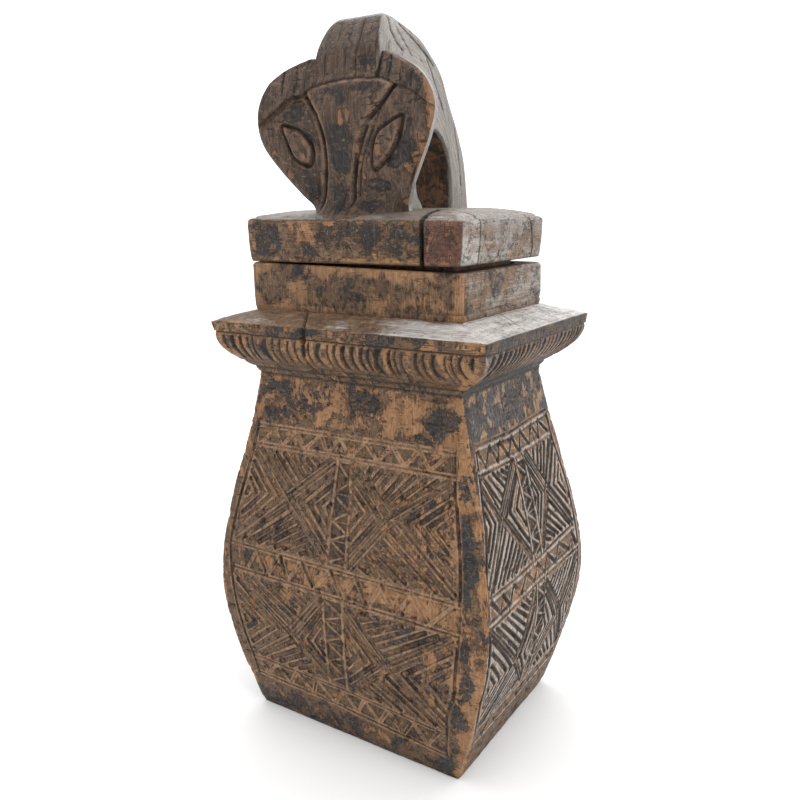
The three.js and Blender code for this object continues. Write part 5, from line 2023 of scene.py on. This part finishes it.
    def dress_slab(self, piece: bpy.types.Object) -> None:
        """Say where the slab is worn, painted, silvered and dirty, from where its points and faces lie.

        Args:
            piece: the slab or the corner block.
        """
        mesh = piece.data
        co, normal = np.empty(len(mesh.vertices) * 3), np.empty(len(mesh.vertices) * 3)
        mesh.vertices.foreach_get("co", co)
        mesh.vertices.foreach_get("normal", normal)
        p, n = co.reshape(-1, 3) / MM, normal.reshape(-1, 3)
        top, right, front = smooth(n[:, 2], 0.3, 0.9), smooth(n[:, 0], 0.4, 0.9), smooth(-n[:, 1], 0.4, 0.9)
        edge = np.exp(-(((p[:, 2] - self.edge_z + 1) / 3) ** 2))
        edge = edge + 0.7 * np.exp(-(((p[:, 2] - 382) / 3) ** 2))
        from_joint = p[:, 0] - self.patch_left + 0.5 * self.joint_gap
        joint_x = np.exp(-((from_joint / 2.4) ** 4)) * (p[:, 1] < self.patch_back + 1)
        joint_y = np.exp(-(((p[:, 1] - self.patch_back) / 1.0) ** 4)) * (p[:, 0] > self.patch_left - 4)
        front_bare = ovals((Ellipse(-35, 402, 22, 12, 0.9), Ellipse(20, 387, 26, 8, 0.8),
                            Ellipse(-92, 397, 6, 14, 0.7), Ellipse(60, 397, 8, 20, 0.4)),
                           p[:, 0], p[:, 2])
        front_paint = ovals((Ellipse(-78, 397, 16, 14, 0.8), Ellipse(5, 402, 36, 12, 0.8),
                             Ellipse(-45, 388, 14, 8, 0.7), Ellipse(45, 392, 14, 10, 0.5)),
                            p[:, 0], p[:, 2])
        # Darker along the slab's lower edge over the gap to the collar, a painted shade, and along the checks
        # and the joint of the let-in block.
        values = {
            "dirt_and_shade": np.clip(0.45 * self.slab_crack(p) + 0.7 * smooth(-p[:, 2], -383, -381) + joint_x
                            + joint_y, 0, 1),
            "bare": np.clip(0.34 + 0.3 * front_bare * front + 0.3 * edge
                            + 0.2 * right * noise(p, (20, 15, 26), 118, 2), 0, 1) * (1 - 0.6 * top),
            "paint": np.clip(0.22 + 0.38 * front_paint * front
                             + 0.12 * smooth(noise(p, 22, 117, 2), 0, 1) - 0.15 * top - 0.1 * right, 0, 1),
            "grey": np.clip(0.5 * top + right * (0.5 + 0.3 * noise(p, (20, 17, 30), 119, 2))
                            * (1 - 0.5 * top) + 0.1 * edge, 0, 1),
            "worn": 0.3 * np.clip(edge, 0, 1) * (1 - top),
        }
        write_values(mesh, values, np.where((right > 0.5)[:, None], p[:, [2, 0, 1]], p[:, [1, 2, 0]]))
        mesh.polygons.foreach_set("use_smooth", np.ones(len(mesh.polygons), bool))
        mesh.set_sharp_from_angle(angle=math.radians(40))

    def plug_piece(self) -> bpy.types.Object:
        """The plug under the slab: a rounded rectangle with a drawn-in foot, which runs up into the slab.

        Returns:
            The piece.
        """
        hx, hy = self.mouth[0] - self.plug_clearance, self.mouth[1] - self.plug_clearance
        rows = [(6, 6, 3, self.plug_foot), (40, 28, 8, self.plug_foot),
                (hx - 3.4, hy - 3.4, 9, self.plug_foot), (hx - 2.0, hy - 2.0, 9, self.plug_foot + 0.7),
                (hx - 0.3, hy - 0.3, 9, self.plug_foot + 3)]
        rows += [(hx - 0.3, hy - 0.3, 9, z) for z in np.linspace(self.plug_foot + 6, 382.4, 8)]
        rows += [(30, 20, 5, 382.4), (4, 4, 2, 382.4)]
        turn = turns(0, 4, 60, 6)[:-1]
        ring, points = stacked(rows, turn)
        points = points - ring.normals() * (0.25 + 0.2 * noise(points, (7, 7, 16), 121, 2))[:, None]
        plain = np.ones(len(points))
        values = {"dirt_and_shade": 0.3 * plain, "bare": 0.3 * plain}
        quads = grid_faces(len(rows), len(turn), False, True)
        return make_mesh("lid_plug", points, quads, end_caps(len(rows), len(turn)), values)

    def arch_width(self, z: np.ndarray) -> np.ndarray:
        """Half width of the arch: straight below, then drawn in by 1 - √(1 - 0.98·rise²) to the crest."""
        rise = np.clip((z - self.taper_z) / (self.crown_top - self.taper_z), 0, 1)
        return self.arch_half - (self.arch_half - self.crest_half) * (1 - np.sqrt(1 - 0.98 * rise * rise))

    def facets(self, x: np.ndarray, z: np.ndarray) -> tuple[np.ndarray, np.ndarray]:
        """Upright strokes of the adze on forehead and crest: each tilted a little, with a cut between two.

        A stroke's height is level + tilt · (x - its middle); the cut is depth · (1 - distance / 0.9 mm).

        Args:
            x: positions across.
            z: heights.

        Returns:
            How far each point stands out, and how deep the cuts between the strokes are.
        """
        hand = np.random.default_rng(61)
        edges = np.asarray(self.facet_edges)
        count = len(edges) - 1
        tilt, level = hand.normal(0, 0.05, count), hand.normal(0, 0.22, count)
        depth = hand.uniform(0.3, 1.0, count)
        flat = np.stack([x.ravel(), z.ravel(), 0 * x.ravel()], -1)
        at = x + 1.1 * noise(flat, (30, 14, 9), 62, 2).reshape(x.shape)
        k = np.clip(np.searchsorted(edges, at) - 1, 0, count - 1)
        middle = 0.5 * (edges[k] + edges[k + 1])
        distance = np.minimum(at - edges[k], edges[k + 1] - at)
        strong = np.where(np.abs(at - 22.5) < 3, 1.9, depth[k])
        reach = np.where(np.abs(at - 22.5) < 3, 1.3, 0.9)
        stroke = (level[k] + tilt[k] * (at - middle)) * smooth(distance, 0, 1.6)
        return stroke, strong * np.clip(1 - distance / reach, 0, 1)

    def arch_piece(self) -> bpy.types.Object:
        """The handle: stations from foot to foot, each a squared-off ring between the hole and the outline.

        A station joins one point of the hole's line to the matching point of the outer line; round it
        runs |x|¹⁸ + |y|¹⁸ = 1, wide along X, its points evenly spread. Above the head the front is hewn flat,
        with a slanted facet on its right.

        Returns:
            The piece.
        """
        outer = even_line(rounded_path(np.asarray(self.arch_outer, float), False), 230)
        inner = even_line(rounded_path(np.asarray(self.hole, float), False), 230)
        outer[:, 1] = np.where(outer[:, 1] < 412, 405, outer[:, 1])
        turn = np.arange(240) / 240
        side, through = (np.clip(2 * (4 * np.abs((turn - lag) % 1 - 0.5) - 1), -1, 1) for lag in (0, 0.25))
        radius = (np.abs(side) ** 18 + np.abs(through) ** 18) ** (-1 / 18)
        side, through = side * radius, through * radius
        middle, half = 0.5 * (outer + inner), 0.5 * (outer - inner)
        y = middle[:, :1] + half[:, :1] * through[None, :]
        z = middle[:, 1:] + half[:, 1:] * through[None, :]
        x = self.arch_shift + self.arch_width(z) * side[None, :]
        arris = along(self.crest_arris, z)
        slant = np.where((x > arris) & (z > 505), -59.5 + 1.2 * (x - arris), -90)
        y = np.where(y < -30, np.maximum(y, slant), y)
        base = np.stack([x, y, z], -1)
        shape = base.shape[:2]
        du, dv = np.gradient(base, axis=0), np.roll(base, -1, axis=1) - np.roll(base, 1, axis=1)
        normal = np.cross(du, dv)
        normal /= np.linalg.norm(normal, axis=-1, keepdims=True) + 1e-9
        flat, n = base.reshape(-1, 3), normal.reshape(-1, 3)
        core = np.repeat(np.stack([np.full(len(middle), self.arch_shift), middle[:, 0], middle[:, 1]],
                                  -1), shape[1], axis=0)
        n = n * np.sign((n * (flat - core)).sum(-1, keepdims=True))
        face = np.broadcast_to(side[None, :], shape).ravel()
        tall = np.broadcast_to(through[None, :], shape).ravel()
        run = np.concatenate([[0], np.cumsum(np.hypot(*np.diff(middle, axis=0).T))])
        run = np.broadcast_to(run[:, None], shape).ravel()
        flow = np.stack([flat[:, 0], 26 * tall, run], -1)
        right, left = smooth(face, 0.75, 0.95), smooth(-face, 0.75, 0.95)
        inside = smooth(-tall, 0.6, 0.95) * (1 - right)
        beside = flat[:, 0] - arris.ravel()
        front = smooth(-n[:, 1], 0.5, 0.9) * smooth(-flat[:, 1], 36, 50) * smooth(1.2 - beside, 0, 1.5)
        stroke, cut = self.facets(flat[:, 0], flat[:, 2])
        hewn = 0.5 * np.abs(noise(flow, (12, 8, 26), 134, 1)) + 0.34 * noise(flow, (4, 3, 18), 135, 2)
        gash = sum(depth * np.clip(1.2 - line_distance(flat[:, 1:], line) / gape, 0, 1)
                   for line, gape, depth in self.arch_cracks)
        gash = gash * (flat[:, 0] > 12) * (n[:, 0] > 0.3)
        checks = 0.8 * smooth(noise(flow, (2.2, 2.2, 46), 133, 2), 0.6, 1.0) * np.maximum(right, left)
        uneven = (0.45 + 0.2 * noise(flat, 34, 131, 2) + hewn * np.maximum(right, left)
                  + front * (0.3 - stroke + cut))
        points = flat - n * np.maximum(uneven + checks + gash, 0.25)[:, None]
        points[:, 2] = np.minimum(points[:, 2], self.crown_top - 0.4)
        quads = grid_faces(*shape, False, True)
        caps = tuple(cap[::-1] for cap in end_caps(*shape))
        edge = np.exp(-(((beside - 0.6) / 1.3) ** 2)) * smooth(-flat[:, 1], 40, 56) * (flat[:, 2] > 500)
        dark, bare = (ovals(places, flat[:, 0], flat[:, 2]) for places in (self.head_dark, self.head_bare))
        plain = flat * (1, 1, 0.42)
        # Darker inside the hole, partly a painted shade, and in the checks, gashes and cuts between the
        # strokes and along the crest's right arris.
        values = {
            "flow": np.where(front[:, None] > 0.5, plain, flow),
            "dirt_and_shade": np.clip(0.2 * inside + 0.14 * front * smooth(flat[:, 2], 508, 520)
                            + 0.7 * smooth(checks, 0.3, 0.8) + smooth(gash, 0.2, 0.8)
                            + 0.8 * front * smooth(cut, 0.2, 0.9) + 0.6 * edge, 0, 1),
            "bare": np.clip(0.2 + 0.32 * inside + front * (0.02 + 0.4 * bare), 0, 1),
            "paint": np.clip(0.12 + front * (0.18 + 0.5 * dark) + 0.04 * inside, 0, 1),
            "grey": np.clip(0.95 * right + 0.42 * left
                            + (0.85 - 0.4 * smooth(flat[:, 1], 0, 40)) * smooth(tall, 0.6, 1)
                            * (1 - 0.5 * left), 0, 1) * (1 - inside) * (1 - front) * (1 - 0.7 * edge),
        }
        return make_mesh("lid_arch", points, quads, caps, values)

    def face_sheet(self) -> Relief:
        """Cut the face's lines: the channels beside the snout, and two eyes, each ringed by a fainter line.

        Returns:
            The sheet.
        """
        sheet = Relief(-90, 75, 405, 530, 0.4, 51)
        for line, width, depth in self.channels:
            sheet.path(line, width, depth)
        for eye in self.eyes:
            sheet.path(eye, 3.9, 2.6, True)
            middle = np.mean(eye, 0)
            outer = tuple(tuple(middle + (np.asarray(p) - middle) * 1.32) for p in eye)
            sheet.path(outer, 2.4, 0.7, True)
        sheet.worn(1)
        return sheet

    def eyeballs(self, x: np.ndarray, z: np.ndarray) -> tuple[np.ndarray, np.ndarray]:
        """Each eye: a ball that swells by 2.2·(1 - e^(-d/3)) at d mm inside its outline, in a soft socket.

        Args:
            x: positions across.
            z: heights.

        Returns:
            How far the ball stands out, and how deep the socket is.
        """
        at = np.stack([x.ravel(), z.ravel()], -1)
        ball, socket = np.zeros(len(at)), np.zeros(len(at))
        for eye in self.eyes:
            ring = rounded_path(np.asarray(eye, float), True)
            a, b = ring[:-1], ring[1:]
            crosses = ((a[:, 1] > at[:, 1:]) != (b[:, 1] > at[:, 1:])) & (
                at[:, :1] < a[:, 0] + (at[:, 1:] - a[:, 1]) * (b[:, 0] - a[:, 0])
                / np.where(b[:, 1] == a[:, 1], 1e-9, b[:, 1] - a[:, 1]))
            inside = crosses.sum(1) % 2 == 1
            away = line_distance(at, tuple(map(tuple, ring)))
            ball = np.maximum(ball, np.where(inside, 2.2 * (1 - np.exp(-away / 3)), 0))
            socket = np.maximum(socket, np.where(inside, 1.5, 1.5 * np.exp(-((away / 6.5) ** 2))))
        return ball.reshape(x.shape), socket.reshape(x.shape)

    def head_piece(self) -> bpy.types.Object:
        """The hood-shaped head: a ring at each height, front carved, rim squared and back drawn in.

        The forehead stands proud of the face by a step; the brow's cut has a steep wall above and a slope
        below it. The snout stands 2 mm proud between its channels, and a toe runs out over the slab.

        Returns:
            The piece.
        """
        table = np.asarray(self.head_rows, float)
        z = np.linspace(411, 523, 215)
        left, right, ground = (cubic(table[:, 0], table[:, k], z)[:, None] for k in (1, 2, 3))
        share = np.linspace(0, 1, 250)[None, :]
        x = left + (right - left) * share
        zz = np.broadcast_to(z[:, None], x.shape)
        edge = np.minimum(x - left, right - x)
        flat = np.stack([x.ravel(), zz.ravel(), 0 * x.ravel()], -1)
        sheet = self.face_sheet()
        cut = sheet.read(sheet.depth, x.ravel(), zz.ravel()).reshape(x.shape)
        jag = noise(flat, (5, 2.6, 9), 63, 2).reshape(x.shape)
        jag = jag * along(((-84, 0.9), (-30, 0.8), (-20, 0.3), (70, 0.3)), x)
        over = zz - along(self.brow, x) + jag
        above = smooth(over, -0.1, 0.8)
        within = smooth(x, -36, -30) * smooth(-x, -23, -20)
        merge = 1 - within * smooth(zz, 505, 515)
        stroke, between = self.facets(x, zz)
        step = along(self.brow_step, x)
        forehead = above * (step * merge + stroke - between)
        brow_run = along(self.brow_run, x)
        brow_cut = (1 - above) * 1.7 * np.clip(1 + over / brow_run, 0, 1)
        snout = smooth(x, along(self.snout_left, zz) - 0.8, along(self.snout_left, zz) + 2.6)
        snout = snout * smooth(-x, -along(self.snout_right, zz) - 0.8, -along(self.snout_right, zz) + 2.6)
        ball, socket = self.eyeballs(x, zz)
        cheek = along(tuple(sorted((p[1], p[0]) for p in self.cheek)), zz)
        fall = 0.3 * np.clip(x - cheek, 0, 12) * smooth(-zz, -476, -462) * smooth(zz, 425, 440)
        face = (1 - above) * (1.9 * snout * (1 - socket / 1.5) + ball - socket - cut - fall) - brow_cut
        hand = 0.3 * noise(flat, (7, 16, 9), 64, 2) + 0.22 * noise(flat, (2.2, 9, 9), 65, 2)
        hand = hand.reshape(x.shape)
        relief = (forehead + face + hand) * smooth(edge, 0.0, 3.0)
        toe = 17 * np.clip(1 - ((x + 8) / 40) ** 2, 0, 1) * smooth(-zz, -431, -411) ** 1.4
        rounding = 1.5 * (1 - smooth(edge, 0, 3.5))
        front = np.stack([x, ground - relief + rounding - toe, zz], -1)
        rim = self.head_rim
        root = self.arch_half - 10
        steps = np.linspace(0, 1, 8)[1:][None, :]
        rise = np.broadcast_to(z[:, None], (len(z), steps.shape[1]))
        side_right = np.stack([right - 0.6 * steps, ground + 1.8 + (rim - 1.8) * steps, rise], -1)
        side_left = np.stack([left + 0.6 * steps[:, ::-1], ground + 1.8 + (rim - 1.8) * steps[:, ::-1],
                              rise], -1)
        back_steps = np.linspace(0, 1, 40)[1:-1][None, :]
        back_x = right - 0.6 + (left + 0.6 - right + 0.6) * back_steps
        swell = 12 * smooth(-np.abs(back_x - self.arch_shift), -root * 2.2, -root * 0.8)
        back = np.stack([back_x, ground + rim + swell, np.broadcast_to(z[:, None], back_x.shape)], -1)
        base = np.concatenate([front, side_right, back, side_left], axis=1)
        shape = base.shape[:2]
        points = base.reshape(-1, 3)
        pad = shape[1] - x.shape[1]

        def padded(values: np.ndarray, fill: float) -> np.ndarray:
            """Carry a front-only value over the whole ring with a plain one behind."""
            return np.pad(values, ((0, 0), (0, pad)), constant_values=fill).ravel()

        on_front = padded(np.ones(x.shape), 0.0)
        uneven = 0.2 * noise(points, 26, 141, 2)
        points = points + np.stack([0 * uneven, np.where(on_front > 0.5, 0.35 + uneven, -0.3 * uneven),
                                    0 * uneven], -1)
        side_mask = np.zeros(shape)
        side_mask[:, x.shape[1] : x.shape[1] + steps.shape[1]] = 1
        side_mask = side_mask.ravel()
        smooth_brow = relief + brow_cut * smooth(edge, 0.0, 3.0) - above * step * merge
        hollow = blurred(smooth_brow, 4, 2) - smooth_brow
        # Painted shadow: a dark line under the brow's step.
        shadow = np.exp(-(((over - 0.3) / 0.6) ** 2))
        # Painted highlight along the right part of the hood's rim.
        hood_rim_highlight = np.exp(-((edge / 1.1) ** 2)) * smooth(x, 14, 22) * above
        # Painted highlight: the face's upper edge just below the brow.
        lit = np.exp(-(((over + 1.3) / 1.0) ** 2)) * along(((-84, 0.35), (-28, 0.5), (-20, 0.9), (24, 0.9),
                                                            (34, 0.3), (70, 0.3)), x)
        rim_bare = np.exp(-((edge / 3.0) ** 2)) * smooth(x, -60, 20)
        spots, dark = ovals(self.head_bare, x, zz), ovals(self.head_dark, x, zz)
        # Darker in hollows and deep cuts, partly a painted shade, and along the painted shadow under the
        # brow; paler on bulges, wear and partly a painted highlight, and along the painted highlights of the
        # brow's edge and the hood's rim.
        values = {
            "flow": points * (1, 1, 0.42),
            "dirt_and_shade": padded(np.clip(smooth(hollow, 0.2, 0.9) + 0.8 * shadow + 0.6 * smooth(cut, 0.8, 2.0),
                                   0, 1), 0.1),
            "bare": padded(np.clip(0.22 + 0.12 * smooth(ball, 0.8, 2) + 0.3 * rim_bare
                                   + 0.4 * spots, 0, 1), 0.15),
            "paint": padded(np.clip(0.27 + 0.5 * dark - 0.2 * rim_bare - 0.25 * spots
                                    - 0.2 * smooth(ball, 0.8, 2), 0, 1), 0.15),
            "grey": np.clip(padded(np.zeros(x.shape), 0.35) + 0.95 * side_mask, 0, 1),
            "worn": padded(np.clip(0.6 * smooth(-hollow, 0.2, 0.8) + lit + hood_rim_highlight, 0, 1), 0.0),
        }
        return make_mesh("lid_head", points, grid_faces(*shape, False, True), end_caps(*shape), values)


def line_distance(at: np.ndarray, line: Line) -> np.ndarray:
    """Distance of points from a broken line, the least of those from its straight parts.

    Args:
        at: N by 2 positions.
        line: the corners.

    Returns:
        N distances.
    """
    least = np.full(len(at), 1e9)
    for a, b in zip(np.asarray(line[:-1], float), np.asarray(line[1:], float)):
        span = b - a
        t = np.clip(((at - a) @ span) / max(span @ span, 1e-9), 0, 1)
        least = np.minimum(least, np.hypot(*(at - a - t[:, None] * span).T))
    return least


def even_line(points: np.ndarray, count: int) -> np.ndarray:
    """Place points evenly by length along a broken line.

    Args:
        points: K by 2 corners.
        count: how many points to give back.

    Returns:
        The even points.
    """
    length = np.concatenate([[0], np.cumsum(np.hypot(*np.diff(points, axis=0).T))])
    at = np.linspace(0, length[-1], count)
    return np.stack([np.interp(at, length, points[:, k]) for k in (0, 1)], -1)


# Studio


@dataclass(frozen=True)
class Studio:
    """The photograph's camera, a pale floor out to the horizon, and soft light from above and the right."""

    camera_at: tuple[float, float, float] = (348.2, -543.1, 419.4)
    yaw: float = 33.40
    pitch: float = 13.38
    roll: float = -0.83
    focal_px: float = 809.7
    centre_px: Point = (-8.4, 0.6)
    key_watts: float = 10.0
    fill_watts: float = 0.5
    sky: float = 1.55
    front: float = 0.53
    overhead: float = 1.2

    def build(self) -> None:
        """Make the camera, the floor, the lights and the white surroundings."""
        self.place_camera()
        self.lay_floor()
        self.light("key", (1.5, -0.2, 0.85), 0.8, self.key_watts)
        self.light("fill", (-1.3, -1.2, 0.9), 1.2, self.fill_watts)
        bpy.context.scene.world = self.surroundings()
        bpy.context.scene.view_settings.view_transform = "Standard"

    def surroundings(self) -> bpy.types.World:
        """Make the white room: bright overhead and behind the box, dimmer on the side of its front.

        Returns:
            The world.
        """
        world = bpy.data.worlds.new("studio")
        world.use_nodes = True
        tree = world.node_tree
        ahead = (-math.sin(math.radians(self.yaw)), math.cos(math.radians(self.yaw)), 0.0)
        towards = add_node(tree, "ShaderNodeTexCoord").outputs["Generated"]
        total = self.front
        glows = ((ahead, -0.2, 0.6, self.sky - self.front), ((0, 0, 1), 0.25, 0.95, self.overhead))
        for axis, low, high, gain in glows:
            dot = add_node(tree, "ShaderNodeVectorMath", {0: towards, 1: axis},
                           operation="DOT_PRODUCT").outputs["Value"]
            inputs = {"Value": dot, "From Min": low, "From Max": high, "To Min": 0.0, "To Max": gain}
            share = add_node(tree, "ShaderNodeMapRange", inputs, interpolation_type="SMOOTHSTEP").outputs[0]
            total = add_node(tree, "ShaderNodeMath", {0: share, 1: total}, operation="ADD").outputs[0]
        background = tree.nodes["Background"]
        background.inputs[0].default_value = (1, 1, 1, 1)
        tree.links.new(total, background.inputs[1])
        return world

    def place_camera(self) -> None:
        """Set the camera from its turn, tilt and roll; its focal length in pixels gives the lens."""
        yaw, pitch, roll = (math.radians(a) for a in (self.yaw, self.pitch, self.roll))
        ahead = Vector((-math.sin(yaw) * math.cos(pitch), math.cos(yaw) * math.cos(pitch),
                        -math.sin(pitch)))
        right = Vector((math.cos(yaw), math.sin(yaw), 0))
        up = right.cross(ahead)
        rolled_right = math.cos(roll) * right + math.sin(roll) * up
        rolled_up = -math.sin(roll) * right + math.cos(roll) * up
        data = bpy.data.cameras.new("camera")
        data.sensor_width = 36
        data.lens = 36 * self.focal_px / IMAGE_PX
        data.shift_x = -self.centre_px[0] / IMAGE_PX
        data.shift_y = self.centre_px[1] / IMAGE_PX
        data.clip_start, data.clip_end = 0.01, 50
        camera = bpy.data.objects.new("camera", data)
        turn = Matrix((rolled_right, rolled_up, -ahead)).transposed().to_4x4()
        camera.matrix_world = Matrix.Translation(Vector(self.camera_at) * MM) @ turn
        bpy.context.scene.collection.objects.link(camera)
        bpy.context.scene.camera = camera

    def lay_floor(self) -> None:
        """Lay a large pale floor just under the box."""
        half = 12000.0
        points = np.array([(-half, -half, -0.2), (half, -half, -0.2), (half, half, -0.2),
                           (-half, half, -0.2)])
        floor = make_mesh("floor", points, np.array([(0, 1, 2, 3)]))
        material = bpy.data.materials.new("white_paper_floor")
        material.use_nodes = True
        shader = material.node_tree.nodes["Principled BSDF"]
        shader.inputs["Base Color"].default_value = to_linear("#e9e9e9")
        shader.inputs["Roughness"].default_value = 0.9
        floor.data.materials.append(material)

    def light(self, name: str, at: tuple[float, float, float], size: float, watts: float) -> None:
        """Hang a square soft light that faces the box.

        Args:
            name: its name.
            at: where, in metres.
            size: its side, in metres.
            watts: its power.
        """
        data = bpy.data.lights.new(name, "AREA")
        data.shape, data.size, data.energy = "SQUARE", size, watts
        lamp = bpy.data.objects.new(name, data)
        lamp.location = at
        lamp.rotation_euler = (Vector((0, 0, 0.28)) - Vector(at)).to_track_quat("-Z", "Y").to_euler()
        bpy.context.scene.collection.objects.link(lamp)


def main() -> None:
    """Build the studio and every sub-assembly."""
    logging.basicConfig(level=logging.INFO, format="%(name)s: %(message)s")
    Studio().build()
    # Walls: a dull brown skin with charcoal paint, torn away down to tan wood.
    wood = AgedHardwood("old_carved_hardwood").build()
    # Cornice: the same, bleached to pale silver where rain lay on its top, made paler as a painted sheen of
    # the light on that top.
    ledge = AgedHardwood("bleached_and_sheened_cornice_hardwood", grey_light="#cbc7c3", grey_dark="#6e6761").build()
    # Collar: rubbed smooth, so its stains are soft and its tan is warm.
    rubbed = AgedHardwood("rubbed_collar_hardwood", skin_span=(0.47, 0.73), bare_span=(0.3, 0.76),
                          paint_span=(0.38, 0.7), fleck=0.35, swirl=0.4,
                          wood_light="#ad8560", wood_dark="#7d5a3d").build()
    # Hollow: raw brown wood that nobody oiled or painted.
    inside = AgedHardwood("raw_hollowed_hardwood", patina_light="#6a4c36", patina_dark="#3f2c20").build()
    # Slab: soft stains on brown, and weathered grey end grain.
    lid_wood = AgedHardwood("weathered_hardwood", skin_span=(0.49, 0.71), bare_span=(0.36, 0.7),
                            paint_span=(0.43, 0.6), fleck=0.7,
                            grey_light="#8b8782", grey_dark="#68645f").build()
    # Handle and head: smoke-dark brown, silver on the side that the rain met.
    smoked = AgedHardwood("smoked_handle_hardwood", skin_span=(0.49, 0.71), patina_light="#665141",
                          patina_dark="#2e2219", wood_light="#99714f", wood_dark="#6c4c35",
                          paint_light="#343233", paint_dark="#121112", paint_span=(0.43, 0.6), fleck=0.8,
                          grey_light="#96908a", grey_dark="#746f6b", worn="#8e6f58").build()
    # Let-in block: another, redder wood with little paint.
    red = AgedHardwood("reddish_hardwood_block", skin_span=(0.48, 0.72), wood_light="#97684c",
                       wood_dark="#6b4330", patina_light="#704a3a",
                       patina_dark="#3f281f").build()
    # Peg: dark end grain.
    dark = AgedHardwood("dark_peg_wood", patina_light="#4a3527", patina_dark="#2c1e15").build()
    BoxBody().build(wood, ledge, rubbed, inside)
    Lid().build(lid_wood, smoked, red, dark)


if __name__ == "__main__":
    main()
